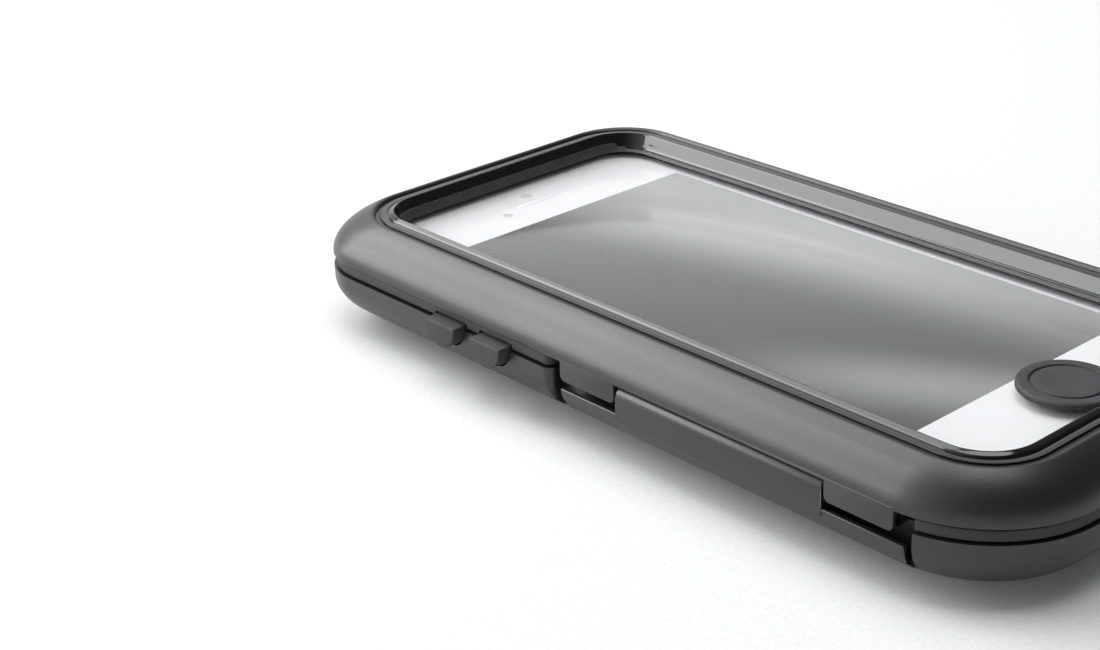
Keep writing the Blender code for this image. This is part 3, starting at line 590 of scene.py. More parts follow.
def display_glass():
    """Display coloured grey with a painted reflection that fades across it and a painted highlight in a soft
    slanting band.
    """
    made, tree, shader = new_finish("display_glass")
    coordinates = tree.nodes.new("ShaderNodeTexCoord")
    axes = tree.nodes.new("ShaderNodeSeparateXYZ")
    tree.links.new(coordinates.outputs["Object"], axes.inputs[0])
    x, y = axes.outputs["X"], axes.outputs["Y"]
    # Painted reflection: the colour fades from dark on the near side to light towards the far side, in place
    # of the room's reflection.
    across = calculate(tree, "SUBTRACT", y, calculate(tree, "MULTIPLY", x, 0.2))
    fade = spread(tree, across, -3.5 * MM, 29 * MM, 0.0, 1.0, "SMOOTHSTEP")
    # Painted highlight: a soft slanting band of lighter colour, stronger towards +X, in place of a lamp's
    # reflection.
    slant = calculate(tree, "SUBTRACT", y, calculate(tree, "MULTIPLY", x, 0.53))
    rise = spread(tree, slant, -43 * MM, -29.5 * MM, 0.0, 1.0, "SMOOTHSTEP")
    fall = spread(tree, slant, -29.5 * MM, -16 * MM, 1.0, 0.0, "SMOOTHSTEP")
    reach = spread(tree, x, 3 * MM, 39 * MM, 0.0, 0.4, "SMOOTHSTEP")
    band = calculate(tree, "MULTIPLY", calculate(tree, "MULTIPLY", rise, fall), reach)
    tone = calculate(tree, "ADD", fade, band)
    # The display's base colour carries the painted reflection and the painted highlight.
    paint(tree, shader, tone, colours().display_painted_shade, colours().display_painted_reflection)
    polish(tree, shader, noise(tree, 14 * MM, 4.0), 0.35, 0.7, 0.08, 0.13)
    return made


def brushed_metal(name, colour, stretch, low, high):
    """Metal with fine brushed lines along one direction."""
    made, tree, shader = new_finish(name)
    lines = noise(tree, 0.2 * MM, 3.0, 0.6, stretch)
    tint(tree, shader, lines, colour, 0.85, 1.15)
    polish(tree, shader, lines, 0.3, 0.7, low, high)
    raise_relief(tree, shader, lines, 0.08, 0.03 * MM)
    shader.inputs["Metallic"].default_value = 1.0
    return made


def lens_glass():
    """Dark glass over the small camera and sensor."""
    made, tree, shader = new_finish("lens_glass")
    rings = noise(tree, 0.8 * MM, 2.0)
    paint(tree, shader, rings, (0.58, 0.58, 0.585), (0.66, 0.66, 0.67))
    polish(tree, shader, rings, 0.3, 0.7, 0.08, 0.14)
    return made


def speaker_mesh():
    """Fine woven mesh over the earpiece."""
    made, tree, shader = new_finish("earpiece_mesh")
    weave = cells(tree, 0.18 * MM)
    paint(tree, shader, spread(tree, weave, 0.1, 0.6), (0.79, 0.79, 0.80), (0.74, 0.74, 0.75))
    polish(tree, shader, weave, 0.1, 0.6, 0.35, 0.6)
    raise_relief(tree, shader, weave, 0.3, 0.05 * MM)
    return made


FINISHES = {
    "shell_plastic": satin_plastic,
    "bezel_plastic": gloss_plastic,
    "silicone": silicone_rubber,
    "gasket": foam_gasket,
    "film": clear_film,
    "phone_glass": white_glass,
    "display_glass": display_glass,
    "lens_glass": lens_glass,
    "earpiece_mesh": speaker_mesh,
    "steel": lambda: brushed_metal("brushed_steel", colours().steel, (0.05, 1.0, 1.0), 0.24, 0.36),
    "phone_metal": lambda: brushed_metal("satin_aluminium", colours().metal, (0.05, 1.0, 1.0), 0.3, 0.42),
}
made_finishes = {}


def finish_for(slot):
    """Return the finish of one material slot, made on first use."""
    if slot not in made_finishes:
        made_finishes[slot] = FINISHES[slot]()
    return made_finishes[slot]


# Pieces


def button_block(name, centre_x, margin, start, end):
    """Model a volume button's outline as a block along Y, from its inner end to its outer end."""
    half = BUTTON_WIDTH / 2 + margin
    low, high = BUTTON_LOW_Z - margin, BUTTON_TOP_Z + margin
    piece = block(name, (centre_x - half, end, low), (centre_x + half, start, high))
    middle = (low + high) / 2

    def runs_along(edge):
        first, last = edge.verts
        return abs(first.co.x - last.co.x) < MERGE and abs(first.co.z - last.co.z) < MERGE

    round_edges(piece, BUTTON_CORNER + margin, 10,
                lambda edge: runs_along(edge) and edge.verts[0].co.z < middle)
    round_edges(piece, 0.25 * MM, 4,
                lambda edge: runs_along(edge) and edge.verts[0].co.z > high - MERGE)
    return piece


def pocket_round(inset, low, high):
    """Model what is cut away to round the upright edge where the wall turns into the latch pocket."""
    x, y = POCKET_START - POCKET_ROUND, NEAR_Y + POCKET_ROUND
    tool = block("round", (x, NEAR_Y - 1 * MM, low), (POCKET_START + FIT, y, high))
    carve(tool, post("post", POCKET_ROUND - inset, low - FIT, high + FIT, x, y, 96))
    return tool


def bulge_levels():
    """Return the levels of the front frame's shoulder, from the skirt over its crest to the slot."""
    shoulder, crest = sizes().shoulder, sizes().crest
    steps, crest_steps = 26, 8
    top_angle = math.asin(1 - FRAME_INNER / shoulder)
    rise = (FRAME_HIGH.z - SKIRT_Z) / math.cos(top_angle)
    last_angle = math.asin(1 - (SLOT_INSET - 1.33 * crest) / shoulder)
    levels = []
    for step in range(steps + 1):
        angle = math.pi / 2 + (last_angle - math.pi / 2) * step / steps
        levels.append((shoulder * (1 - math.sin(angle)), SKIRT_Z + rise * math.cos(angle)))
    lean = math.atan2(rise * math.sin(last_angle), shoulder * math.cos(last_angle))
    inset, z = levels[-1]
    middle_inset, middle_z = inset + crest * math.sin(lean), z - crest * math.cos(lean)
    for step in range(1, crest_steps + 1):
        turn = lean - (lean + math.radians(80)) * step / crest_steps
        levels.append((middle_inset - crest * math.sin(turn), middle_z + crest * math.cos(turn)))
    return levels


def make_rear_shell():
    """Model the rear shell: a round-edged tub with the latch pocket, button holes and hinge barrel."""
    radius, steps = sizes().bottom_radius, 12
    low = SHELL_LOW.z
    under = [(0.0, RIM_Z), (0.0, low + radius)]
    for step in range(1, steps + 1):
        angle = math.radians(90 * step / steps)
        under.append((radius * (1 - math.cos(angle)), low + radius * (1 - math.sin(angle))))
    upper = [(0.0, RIM_Z), (CAVITY, RIM_Z), (CAVITY, CAVITY_Z)]
    shell = case_body("case_rear_shell", upper, under, True)

    half, foot = BARREL_MIDDLE, HINGE_Z - BARREL_RADIUS
    carve(shell, block("web", (-half, HALF_WIDTH - 3 * MM, foot), (half, HINGE_Y, foot + 1 * MM)), "UNION")
    carve(shell, bar("barrel", BARREL_RADIUS, -half, half, HINGE_Y, HINGE_Z), "UNION")
    carve(shell, bar("bore", HINGE_BORE, -half - FIT, half + FIT, HINGE_Y, HINGE_Z))
    below, above = low - 1 * MM, RIM_Z + 1 * MM
    carve(shell, block("pocket", (POCKET_START, NEAR_Y - 2 * MM, below), (POCKET_END, POCKET_Y, above)))
    carve(shell, pocket_round(0.0, below, above))
    catch = block("catch", (CATCH_X - CATCH_HALF, POCKET_Y - CATCH_BUMP, CAVITY_Z),
                  (CATCH_X + CATCH_HALF, POCKET_Y + FIT, CATCH_TOP_Z))
    round_edges(catch, 0.3 * MM, 3)
    carve(shell, catch, "UNION")
    wall = NEAR_Y + CAVITY
    for _, _, x in BUTTONS:
        carve(shell, button_block("hole", x, FIT, wall + FIT, NEAR_Y - FIT))
        carve(shell, button_block("seat", x, FLANGE + FIT, wall + FIT, wall - 2.0 * MM))
    for x, y in SCREWS:
        carve(shell, post("hole", SCREW_HOLE, low - FIT, low + 1.4 * MM, x, y, 24))
    clean(shell)
    soften(shell, 0.16 * MM, 2, 40.0)
    finish_piece(shell, "base", "shell_plastic", "rear_shell")


def make_plate():
    """Model the mounting plate and its four socket screws."""
    half_length, half_width = PLATE_HIGH.x, PLATE_HIGH.y
    corner = 9.0 * MM
    top = lay_sheet("plate_top", half_length, half_width, corner, PLATE_HIGH.z)
    step_in([(0.0, PLATE_HIGH.z)], 1, True)
    under = lay_sheet("plate_under", half_length, half_width, corner, PLATE_HIGH.z)
    step_in([(0.0, PLATE_HIGH.z), (0.0, 0.6 * MM), (0.6 * MM, 0.0)], -1, True)
    plate = join("case_mount_plate", [under, top])
    soften(plate, 0.2 * MM, 3, 30.0)
    for x, y in SCREWS:
        carve(plate, post("sink", 2.9 * MM, -FIT, 1.7 * MM, x, y))
        carve(plate, post("hole", SCREW_HOLE, 1.0 * MM, PLATE_HIGH.z + FIT, x, y))
    finish_piece(plate, "base", "shell_plastic", "mount_plate")

    head_radius, head_z = 2.6 * MM, 1.4 * MM
    for number, (x, y) in enumerate(SCREWS, start=1):
        head = lay_disc("screw_under", head_radius, head_z, (x, y))
        step_in([(0.0, head_z), (0.0, 0.6 * MM), (0.1 * MM, 0.35 * MM), (0.35 * MM, 0.2 * MM)], -1, True)
        shank = lay_disc("screw_over", head_radius, head_z, (x, y))
        step_in([(0.0, head_z), (1.5 * MM, head_z), (1.5 * MM, 3.8 * MM), (1.8 * MM, 4.1 * MM)], 1, True)
        screw = join(f"case_screw_{number}", [head, shank])
        carve(screw, post("socket", 1.04 * MM, -FIT, 0.9 * MM, x, y, 6))
        soften(screw, 0.08 * MM, 2, 40.0)
        finish_piece(screw, "base", "steel", f"plate_screw_{number}")


def make_tray():
    """Model the silicone tray, whose flange shows as a dark band between the two halves."""
    low, high = TRAY_LOW.z, TRAY_HIGH.z
    upper = [(BAND_SUNK, high), (TRAY_INNER, high), (TRAY_INNER, TRAY_FLOOR_Z)]
    under = [(BAND_SUNK, high), (BAND_SUNK, BAND_LOW_Z), (TRAY_OUTER, BAND_LOW_Z), (TRAY_OUTER, low)]
    tray = case_body("case_silicone_tray", upper, under, True)
    soften(tray, 0.18 * MM, 3)
    latch = block("latch", (POCKET_START - BAND_SUNK, NEAR_Y - 1 * MM, RIM_Z),
                  (POCKET_END, POCKET_Y, SKIRT_Z))
    carve(tray, latch)
    carve(tray, pocket_round(BAND_SUNK, RIM_Z, SKIRT_Z))
    wall = NEAR_Y + CAVITY
    for _, _, x in BUTTONS:
        carve(tray, button_block("notch", x, FIT, wall, NEAR_Y - FIT))
        carve(tray, button_block("room", x, FLANGE + FIT, wall + FIT / 2, wall - 2.0 * MM))
        carve(tray, peg("way", 2.3 * MM, wall - 0.5 * MM, wall + 3.5 * MM, x, STEM_Z))
    clean(tray)
    finish_piece(tray, "base", "silicone", "silicone_tray")


def make_buttons():
    """Model the two D-shaped volume buttons with their flanges and stems."""
    edge = sizes().button_edge
    for name, body, x in BUTTONS:
        low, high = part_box(name)
        rim = low.y + MERGE
        button = button_block("case_" + name, x, 0.0, FLANGE_OUTER_Y + FIT, low.y)
        open_mesh(button)
        pick(button, "faces", lambda face: face.calc_center_median().y < rim)
        bpy.ops.mesh.inset(thickness=edge, use_even_offset=True)
        close_mesh()
        open_mesh(button)
        inner = [face for face in bmesh.from_edit_mesh(button.data).faces
                 if len(face.verts) > 6 and face.calc_center_median().y < rim]
        chosen = {vert.index for face in inner for vert in face.verts}
        pick(button, "verts", lambda vert: vert.co.y < rim and vert.index not in chosen)
        bpy.ops.transform.translate(value=(0.0, edge, 0.0))
        close_mesh()
        soften(button, 0.08 * MM, 2, 25.0)
        carve(button, button_block("flange", x, FLANGE, FLANGE_INNER_Y, FLANGE_OUTER_Y), "UNION")
        carve(button, peg("stem", 1.3 * MM, STEM_START_Y, high.y, x, STEM_Z), "UNION")
        finish_piece(button, body, "silicone", name)


def make_frame():
    """Model the front frame: the round satin ring with its latch lugs and hinge barrels."""
    upper = bulge_levels() + [(SLOT_INSET, SLOT_Z), (SLOT_OUTER, SLOT_Z), (SLOT_OUTER, LEDGE_Z),
                              (LEDGE_INNER, LEDGE_Z), (LEDGE_INNER, RING_UNDER_Z)]
    under = [(0.0, SKIRT_Z), (SKIRT_INNER, SKIRT_Z), (SKIRT_INNER, RING_UNDER_Z), (LEDGE_INNER, RING_UNDER_Z)]
    ring = case_body("case_front_frame", upper, under, False)
    soften(ring, sizes().edge, 4, 50.0)
    for start, end in LUGS:
        lug = block("lug", (start, NEAR_Y, FRAME_LOW.z + 0.2 * MM),
                    (end, LATCH_INNER_Y, SKIRT_Z + 0.4 * MM))
        round_edges(lug, 0.9 * MM, 6, lambda edge: abs(edge.verts[0].co.x - edge.verts[1].co.x) < MERGE
                    and max(vert.co.z for vert in edge.verts) < SKIRT_Z - 1 * MM)
        soften(lug, 0.14 * MM, 2, 50.0)
        carve(ring, lug, "UNION")
    carve(ring, bar("bore", LATCH_BORE, LUGS[0][0] - FIT, LUGS[1][1] + FIT, LATCH_Y, LATCH_Z, 24))
    top = HINGE_Z + BARREL_RADIUS
    for side in (-1, 1):
        start, end = sorted((side * (BARREL_MIDDLE + FIT), side * BARREL_END))
        carve(ring, block("web", (start, HALF_WIDTH - 3 * MM, top - 1 * MM), (end, HINGE_Y, top)), "UNION")
        carve(ring, bar("barrel", BARREL_RADIUS, start, end, HINGE_Y, HINGE_Z), "UNION")
        carve(ring, bar("bore", HINGE_BORE, start - FIT, end + FIT, HINGE_Y, HINGE_Z))
    clean(ring)
    finish_piece(ring, "lid", "shell_plastic", "front_frame", 30.0)


def make_bezel():
    """Model the glossy ring round the window, with its raised lip."""
    low = BEZEL_LOW.z
    profile = ((6.4, 17.8), (6.42, 17.82), (6.8, 17.825), (7.24, 17.83), (7.32, 17.81), (7.38, 17.76),
               (7.66, 17.75), (7.71, 17.98), (7.76, 18.05), (7.84, 18.1), (8.1, 18.21), (8.35, 18.31),
               (8.46, 18.35), (8.56, 18.33), (8.63, 18.22), (8.7, 18.0), (9.08, 16.75), (9.2, 16.4),
               (9.36, 16.05), (9.5, 15.86))
    upper = [(BEZEL_OUTER, low)] + [(inset * MM, z * MM) for inset, z in profile]
    under = [(BEZEL_OUTER, low), (9.1 * MM, low), (9.1 * MM, 15.83 * MM), (9.5 * MM, 15.86 * MM)]
    ring = case_body("case_bezel_ring", upper, under, False)
    finish_piece(ring, "lid", "bezel_plastic", "bezel_ring", 40.0)


def make_window():
    """Model the clear film over the handset and the foam gasket round it."""
    low, high = MEMBRANE_LOW.z, MEMBRANE_HIGH.z
    under = [(WINDOW_INSET, high), (WINDOW_INSET, low)]
    film = case_body("case_window_film", [(WINDOW_INSET, high)], under, True)
    soften(film, 0.08 * MM, 2)
    carve(film, post("hole", 4.3 * MM, low - FIT, high + FIT, HOME_X, 0.0, 48))
    finish_piece(film, "lid", "film", "window_membrane")

    low, high = GASKET_LOW.z, GASKET_HIGH.z
    inner = 10.0 * MM
    upper = [(WINDOW_INSET, low), (WINDOW_INSET, high), (9.3 * MM, high), (9.4 * MM, high - 0.03 * MM),
             (9.92 * MM, low + 0.17 * MM), (inner, low + 0.08 * MM), (inner, low)]
    gasket = case_body("case_window_gasket", upper, [(WINDOW_INSET, low), (inner, low)], False)
    soften(gasket, 0.05 * MM, 2, 50.0)
    swell = 0.85 * MM
    open_mesh(gasket)
    for share, reach in ((0.35, 12.2 * MM), (0.65, 10.6 * MM)):
        pick(gasket, "verts", lambda vert: vert.co.z > high - 0.06 * MM and vert.co.x < -HALF_LENGTH + reach
             and abs(vert.co.y) < HALF_WIDTH - reach + 1.4 * MM)
        bpy.ops.transform.translate(value=(0.0, 0.0, swell * share))
    close_mesh()
    finish_piece(gasket, "lid", "gasket", "window_gasket")


def make_home_button():
    """Model the round home button with its ring groove and stem."""
    radius = (HOME_HIGH.x - HOME_LOW.x) / 2
    low, high = 15.5 * MM, HOME_HIGH.z
    chamfer, groove_z = 0.28 * MM, high - 0.3 * MM
    rings = ((5.15 * MM, high), (5.05 * MM, groove_z), (4.75 * MM, groove_z), (4.65 * MM, high),
             (3.4 * MM, high - 0.04 * MM), (1.6 * MM, high - 0.12 * MM))
    levels = [(0.0, low), (0.0, high - chamfer), (chamfer, high)] + [(radius - ring, z) for ring, z in rings]
    disc = lay_disc("home_over", radius, low, (HOME_X, 0.0), 96)
    step_in(levels, 1, True)
    stem = lay_disc("home_under", radius, low, (HOME_X, 0.0), 96)
    step_in([(0.0, low), (radius - 4.0 * MM, low), (radius - 4.0 * MM, HOME_LOW.z)], -1, True)
    button = join("case_home_button", [disc, stem])
    soften(button, 0.07 * MM, 3, 25.0)
    finish_piece(button, "home", "silicone", "home_button")


def make_latch():
    """Model the long latch flap with its knuckle, and the pin that it hangs on."""
    radius = sizes().bottom_radius
    start, end, base = FLAP_LOW.x, FLAP_HIGH.x, SHELL_LOW.z
    plate_top = 7.7 * MM
    flap = block("case_latch_flap", (start, NEAR_Y, base), (end, NEAR_Y + radius, base + radius))
    round_edges(flap, radius - HAIR, 14, lambda edge: all(
        vert.co.y < NEAR_Y + MERGE and vert.co.z < base + MERGE for vert in edge.verts))
    open_mesh(flap)
    for point, normal in (((0.0, 0.0, plate_top), (0.0, 0.0, 1.0)),
                          ((0.0, LATCH_INNER_Y, 0.0), (0.0, 1.0, 0.0))):
        bpy.ops.mesh.select_all(action="SELECT")
        bpy.ops.mesh.bisect(plane_co=point, plane_no=normal, clear_outer=True, use_fill=True)
    close_mesh()
    inside = LATCH_INNER_Y + FIT
    for low, high in ((start - FIT, LUGS[0][1] + FIT), (LUGS[1][0] - FIT, end + FIT)):
        hollow = block("hollow", (low, NEAR_Y + 0.9 * MM, 5.4 * MM), (high, inside, plate_top + FIT))
        carve(flap, hollow)
    soften(flap, 0.2 * MM, 3, 45.0)
    low, high = LUGS[0][1] + FIT, LUGS[1][0] - FIT
    web = block("web", (low, NEAR_Y, plate_top - 1.0 * MM), (high, LATCH_INNER_Y, LATCH_Z))
    carve(flap, web, "UNION")
    knuckle = bar("knuckle", KNUCKLE_RADIUS, low, high, LATCH_Y, LATCH_Z, 48)
    soften(knuckle, 0.25 * MM, 3, 50.0)
    carve(flap, knuckle, "UNION")
    carve(flap, bar("bore", LATCH_BORE, low - FIT, high + FIT, LATCH_Y, LATCH_Z, 24))
    half = CATCH_HALF + FIT
    groove = block("groove", (CATCH_X - half, POCKET_Y - 1.0 * MM, base - FIT),
                   (CATCH_X + half, inside, CATCH_TOP_Z + 1.0 * MM))
    carve(flap, groove)
    clean(flap)
    finish_piece(flap, "latch", "shell_plastic", "latch_flap")

    sunk = 1.6 * MM
    start, end = LATCH_PIN_LOW.x + sunk, LATCH_PIN_HIGH.x - sunk
    pin = bar("case_latch_pin", 0.55 * MM, start, end, LATCH_Y, LATCH_Z, 32)
    soften(pin, 0.12 * MM, 3)
    finish_piece(pin, "lid", "steel", "latch_pin")


def make_hinge():
    """Model the far hinge's pin with its two heads."""
    start, end = HINGE_PIN_LOW.x + 0.1 * MM, HINGE_PIN_HIGH.x - 0.1 * MM
    pin = bar("case_hinge_pin", 0.8 * MM, start, end, HINGE_Y, HINGE_Z, 32)
    for side in (-1, 1):
        start, end = sorted((side * (BARREL_END + FIT), side * HINGE_PIN_HIGH.x))
        head = bar("head", 1.28 * MM, start, end, HINGE_Y, HINGE_Z, 32)
        soften(head, 0.12 * MM, 3)
        carve(pin, head, "UNION")
    finish_piece(pin, "base", "steel", "hinge_pin")


def handset_block(name, low, high, corner, edge, steps=16):
    """Model a level block of the handset with round corners and a small round on its edges."""
    half_length, half_width = (high.x - low.x) / 2, (high.y - low.y) / 2
    centre = ((high.x + low.x) / 2, (high.y + low.y) / 2)
    over = lay_sheet(name + "_over", half_length, half_width, corner, low.z, centre, steps)
    step_in([(0.0, low.z), (0.0, high.z)], 1, True)
    under = lay_sheet(name + "_under", half_length, half_width, corner, low.z, centre, steps)
    step_in([(0.0, low.z)], -1, True)
    piece = join(name, [over, under])
    soften(piece, edge, 3, 40.0)
    return piece


def make_handset():
    """Model the plain handset: body, white face, display, small dots, earpiece and side keys."""
    body = handset_block("handset_body", BODY_LOW, BODY_HIGH, 9.3 * MM, 0.5 * MM)
    face = handset_block("handset_face", FACE_LOW, FACE_HIGH, 8.6 * MM, 0.2 * MM, 20)
    over = FACE_HIGH.z + 1 * MM
    carve(face, block("recess", DISPLAY_LOW - Vector((FIT, FIT, FIT)),
                      (DISPLAY_HIGH.x + FIT, DISPLAY_HIGH.y + FIT, over)))
    fill = Vector((FIT - 0.02 * MM, 0.0, 0.0))
    display = block("handset_display", DISPLAY_LOW - fill, DISPLAY_HIGH + fill)
    round_edges(display, 0.06 * MM, 2)
    inlays = []
    seam = 0.03 * MM
    for name, slot in (("camera", "lens_glass"), ("sensor", "lens_glass"), ("earpiece", "earpiece_mesh")):
        low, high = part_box("phone_" + name)
        corner = min(high.x - low.x, high.y - low.y) / 2 - HAIR
        room_low, room_high = low - Vector((seam, seam, seam)), high + Vector((seam, seam, 1 * MM))
        carve(face, handset_block("room", room_low, room_high, corner + seam - HAIR, HAIR, 10))
        inlays.append((handset_block("handset_" + name, low, high, corner, 0.05 * MM, 10), slot, name))
    finish_piece(face, "base", "phone_glass", "phone_face")
    finish_piece(display, "base", "display_glass", "phone_display")
    for inlay, slot, name in inlays:
        finish_piece(inlay, "base", slot, "phone_" + name)
    for name in ("volume_up_key", "volume_down_key"):
        low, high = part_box("phone_" + name)
        x, z = (low.x + high.x) / 2, (low.z + high.z) / 2
        carve(body, peg("room", 2.3 * MM, -29.6 * MM, -28.5 * MM, x, z, 40))
        key = peg("handset_" + name, 2.0 * MM, low.y, high.y, x, z, 40)
        soften(key, 0.12 * MM, 3)
        finish_piece(key, "base", "phone_metal", "phone_" + name)
    finish_piece(body, "base", "phone_metal", "phone_body")


# Stage

LAMP_AIM = (0.0, 0.0, 0.01)
LAMP_DISTANCE = 1.1
LAMPS = (
    ("upper_softbox", (-0.62, 0.05, 0.78), (0.9, 0.7), 5.6),
    ("middle_softbox", (-0.70, -0.36, 0.62), (0.8, 0.6), 6.6),
    ("lower_softbox", (-0.70, -0.64, 0.24), (0.9, 0.5), 6.6),
    ("top_softbox", (0.05, 0.05, 1.0), (0.7, 0.7), 5.4),
)
MIRRORED_LOBES = (((-0.75, -0.6, 0.15), 1.5), ((-0.85, 0.45, 0.05), 2.8))
MIRRORED_LOW = 0.06
AMBIENT = 0.17
FLOOR_SIZE = 12.0
FLOOR_FADE = (0.3, 1.4)
FLOOR_GLOW = (0.03, 0.9)

CAMERA_PLACE = (0.179853, -0.199266, 0.130571)
CAMERA_YAW = 49.151
CAMERA_PITCH = 24.460
CAMERA_ROLL = -2.1765
FOCAL_PIXELS = 1959.8
PHOTO_WIDTH = 1100


def backdrop_rays(tree):
    """Return a value that is 1 for the camera's, glossy and transmitted rays and 0 for the rest."""
    path = tree.nodes.new("ShaderNodeLightPath")
    both = calculate(tree, "MAXIMUM", path.outputs["Is Camera Ray"], path.outputs["Is Glossy Ray"])
    return calculate(tree, "MAXIMUM", both, path.outputs["Is Transmission Ray"])


def make_floor():
    """Lay the pale floor that keeps the case's shadow and fades to white far from it."""
    deselect()
    bpy.ops.mesh.primitive_plane_add(size=FLOOR_SIZE)
    floor = bpy.context.object
    floor.name = "studio_floor"
    made, tree, shader = new_finish("studio_floor")
    specks = spread(tree, noise(tree, 0.7 * MM, 3.0, 0.7), 0.35, 0.65)
    paint(tree, shader, specks, (0.73, 0.73, 0.733), (0.79, 0.79, 0.793))
    shader.inputs["Roughness"].default_value = 0.9
    shader.inputs["Specular IOR Level"].default_value = 0.1
    shader.inputs["Emission Color"].default_value = (1.0, 1.0, 1.0, 1.0)
    away = tree.nodes.new("ShaderNodeVectorMath")
    away.operation = "LENGTH"
    tree.links.new(place(tree), away.inputs[0])
    glow = spread(tree, away.outputs["Value"], *FLOOR_FADE, *FLOOR_GLOW, "SMOOTHSTEP")
    tree.links.new(calculate(tree, "MULTIPLY", backdrop_rays(tree), glow), shader.inputs["Emission Strength"])
    floor.data.materials.append(made)


def make_world():
    """Light the room softly: a white backdrop, which reflections see fade away from the lamps' side."""
    world = bpy.data.worlds.new("studio_room")
    bpy.context.scene.world = world
    world.use_nodes = True
    tree = world.node_tree
    background = tree.nodes["Background"]
    background.inputs["Color"].default_value = (1.0, 1.0, 1.0, 1.0)
    path = tree.nodes.new("ShaderNodeLightPath")
    coordinates = tree.nodes.new("ShaderNodeTexCoord")
    lobes = []
    for direction, power in MIRRORED_LOBES:
        toward = tree.nodes.new("ShaderNodeVectorMath")
        toward.operation = "DOT_PRODUCT"
        toward.inputs[1].default_value = Vector(direction).normalized()
        tree.links.new(coordinates.outputs["Generated"], toward.inputs[0])
        facing = calculate(tree, "MAXIMUM", toward.outputs["Value"], 0.0)
        lobes.append(calculate(tree, "POWER", facing, power))
    mirrored = spread(tree, calculate(tree, "MAXIMUM", *lobes), 0.0, 1.0, MIRRORED_LOW, 1.0)
    bounced = calculate(tree, "MAXIMUM", path.outputs["Is Glossy Ray"], path.outputs["Is Transmission Ray"])
    ambient = calculate(tree, "MULTIPLY", calculate(tree, "SUBTRACT", 1.0, bounced), AMBIENT)
    seen = calculate(tree, "ADD", calculate(tree, "MULTIPLY", bounced, mirrored), ambient)
    strength = calculate(tree, "MAXIMUM", seen, path.outputs["Is Camera Ray"])
    tree.links.new(strength, background.inputs["Strength"])


def make_lamp(name, direction, size, watts):
    """Hang one soft rectangular lamp that faces the case."""
    deselect()
    way = Vector(direction).normalized()
    bpy.ops.object.light_add(type="AREA", location=Vector(LAMP_AIM) + way * LAMP_DISTANCE)
    lamp = bpy.context.object
    lamp.name = name
    lamp.data.shape = "RECTANGLE"
    lamp.data.size, lamp.data.size_y = size
    lamp.data.energy = watts
    lamp.rotation_euler = way.to_track_quat("Z", "Y").to_euler()
    lamp.visible_camera = False


def make_camera():
    """Place the camera at the photograph's viewing angle."""
    yaw, pitch, roll = (math.radians(value) for value in (CAMERA_YAW, CAMERA_PITCH, CAMERA_ROLL))
    forward = Vector((-math.sin(yaw) * math.cos(pitch), math.cos(yaw) * math.cos(pitch), -math.sin(pitch)))
    right = Vector((math.cos(yaw), math.sin(yaw), 0.0))
    up = right.cross(forward)
    right_rolled = right * math.cos(roll) + up * math.sin(roll)
    up_rolled = -right * math.sin(roll) + up * math.cos(roll)
    deselect()
    bpy.ops.object.camera_add(location=CAMERA_PLACE)
    camera = bpy.context.object
    camera.name = "photo_camera"
    turn = Matrix((right_rolled, up_rolled, -forward)).transposed()
    camera.rotation_euler = turn.to_euler()
    camera.data.sensor_width = 36.0
    camera.data.sensor_fit = "HORIZONTAL"
    camera.data.lens = FOCAL_PIXELS / PHOTO_WIDTH * camera.data.sensor_width
    camera.data.clip_start = 0.01
    bpy.context.scene.camera = camera


def make_stage():
    """Set up the floor, the room, the lamps and the camera."""
    make_floor()
    make_world()
    for lamp in LAMPS:
        make_lamp(*lamp)
    make_camera()
    bpy.context.scene.view_settings.view_transform = "Standard"


# Operators and panel


class CaseOperator:
    """What the case's operators share."""

    bl_options = {"REGISTER", "UNDO"}


class CASE_OT_rear_shell(CaseOperator, bpy.types.Operator):
    """Model the rear shell with its pocket, button holes and hinge barrel"""

    bl_idname = "case.rear_shell"
    bl_label = "Rear Shell"

    def execute(self, context):
        make_rear_shell()
        return {"FINISHED"}


class CASE_OT_mount_plate(CaseOperator, bpy.types.Operator):
    """Model the mounting plate and its screws"""

    bl_idname = "case.mount_plate"
    bl_label = "Mounting Plate"

    def execute(self, context):
        make_plate()
        return {"FINISHED"}


class CASE_OT_silicone_tray(CaseOperator, bpy.types.Operator):
    """Model the silicone tray and its band"""

    bl_idname = "case.silicone_tray"
    bl_label = "Silicone Tray"

    def execute(self, context):
        make_tray()
        return {"FINISHED"}


class CASE_OT_volume_buttons(CaseOperator, bpy.types.Operator):
    """Model the two volume buttons"""

    bl_idname = "case.volume_buttons"
    bl_label = "Volume Buttons"

    def execute(self, context):
        make_buttons()
        return {"FINISHED"}


class CASE_OT_front_frame(CaseOperator, bpy.types.Operator):
    """Model the round front frame with its lugs and hinge barrels"""

    bl_idname = "case.front_frame"
    bl_label = "Front Frame"

    def execute(self, context):
        make_frame()
        return {"FINISHED"}


class CASE_OT_bezel(CaseOperator, bpy.types.Operator):
    """Model the glossy ring round the window"""

    bl_idname = "case.bezel"
    bl_label = "Bezel Ring"

    def execute(self, context):
        make_bezel()
        return {"FINISHED"}


class CASE_OT_window(CaseOperator, bpy.types.Operator):
    """Model the clear film and its gasket"""

    bl_idname = "case.window"
    bl_label = "Window"

    def execute(self, context):
        make_window()
        return {"FINISHED"}


class CASE_OT_home_button(CaseOperator, bpy.types.Operator):
    """Model the round home button"""

    bl_idname = "case.home_button"
    bl_label = "Home Button"

    def execute(self, context):
        make_home_button()
        return {"FINISHED"}


class CASE_OT_latch(CaseOperator, bpy.types.Operator):
    """Model the latch flap and its pin"""

    bl_idname = "case.latch"
    bl_label = "Latch"

    def execute(self, context):
        make_latch()
        return {"FINISHED"}


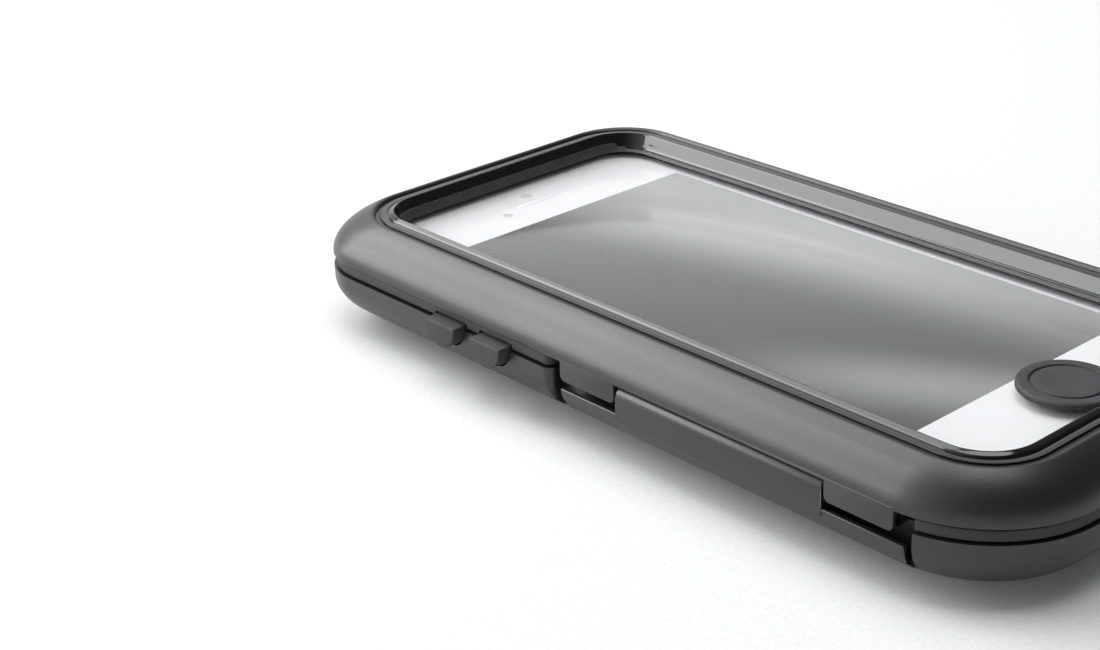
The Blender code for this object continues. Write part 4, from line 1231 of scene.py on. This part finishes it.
class CASE_OT_hinge(CaseOperator, bpy.types.Operator):
    """Model the hinge pin"""

    bl_idname = "case.hinge"
    bl_label = "Hinge Pin"

    def execute(self, context):
        make_hinge()
        return {"FINISHED"}


class CASE_OT_handset(CaseOperator, bpy.types.Operator):
    """Model the plain handset in the case"""

    bl_idname = "case.handset"
    bl_label = "Handset"

    def execute(self, context):
        make_handset()
        return {"FINISHED"}


class CASE_OT_stage(CaseOperator, bpy.types.Operator):
    """Set up the floor, lamps and camera"""

    bl_idname = "case.stage"
    bl_label = "Stage"

    def execute(self, context):
        make_stage()
        return {"FINISHED"}


OPERATORS = (
    CASE_OT_rear_shell,
    CASE_OT_mount_plate,
    CASE_OT_silicone_tray,
    CASE_OT_volume_buttons,
    CASE_OT_front_frame,
    CASE_OT_bezel,
    CASE_OT_window,
    CASE_OT_home_button,
    CASE_OT_latch,
    CASE_OT_hinge,
    CASE_OT_handset,
    CASE_OT_stage,
)


class CASE_PT_panel(bpy.types.Panel):
    """Panel with the case's sizes, colours and pieces"""

    bl_idname = "CASE_PT_panel"
    bl_label = "Handset Case"
    bl_space_type = "VIEW_3D"
    bl_region_type = "UI"
    bl_category = "Case"

    def draw(self, context):
        layout = self.layout
        for group in (context.scene.case_sizes, context.scene.case_colours):
            column = layout.column(align=True)
            for name in group.__annotations__:
                column.prop(group, name)
        column = layout.column(align=True)
        for operator in OPERATORS:
            column.operator(operator.bl_idname)


CLASSES = (CaseSizes, CaseColours, *OPERATORS, CASE_PT_panel)


def register():
    """Register the properties, operators and panel."""
    for item in CLASSES:
        bpy.utils.register_class(item)
    bpy.types.Scene.case_sizes = PointerProperty(type=CaseSizes)
    bpy.types.Scene.case_colours = PointerProperty(type=CaseColours)


def unregister():
    """Take them away again."""
    del bpy.types.Scene.case_colours
    del bpy.types.Scene.case_sizes
    for item in reversed(CLASSES):
        bpy.utils.unregister_class(item)


def main():
    """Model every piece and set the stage."""
    register()
    bpy.ops.case.rear_shell()
    bpy.ops.case.mount_plate()
    bpy.ops.case.silicone_tray()
    bpy.ops.case.volume_buttons()
    bpy.ops.case.front_frame()
    bpy.ops.case.bezel()
    bpy.ops.case.window()
    bpy.ops.case.home_button()
    bpy.ops.case.latch()
    bpy.ops.case.hinge()
    bpy.ops.case.handset()
    bpy.ops.case.stage()


if __name__ == "__main__":
    main()
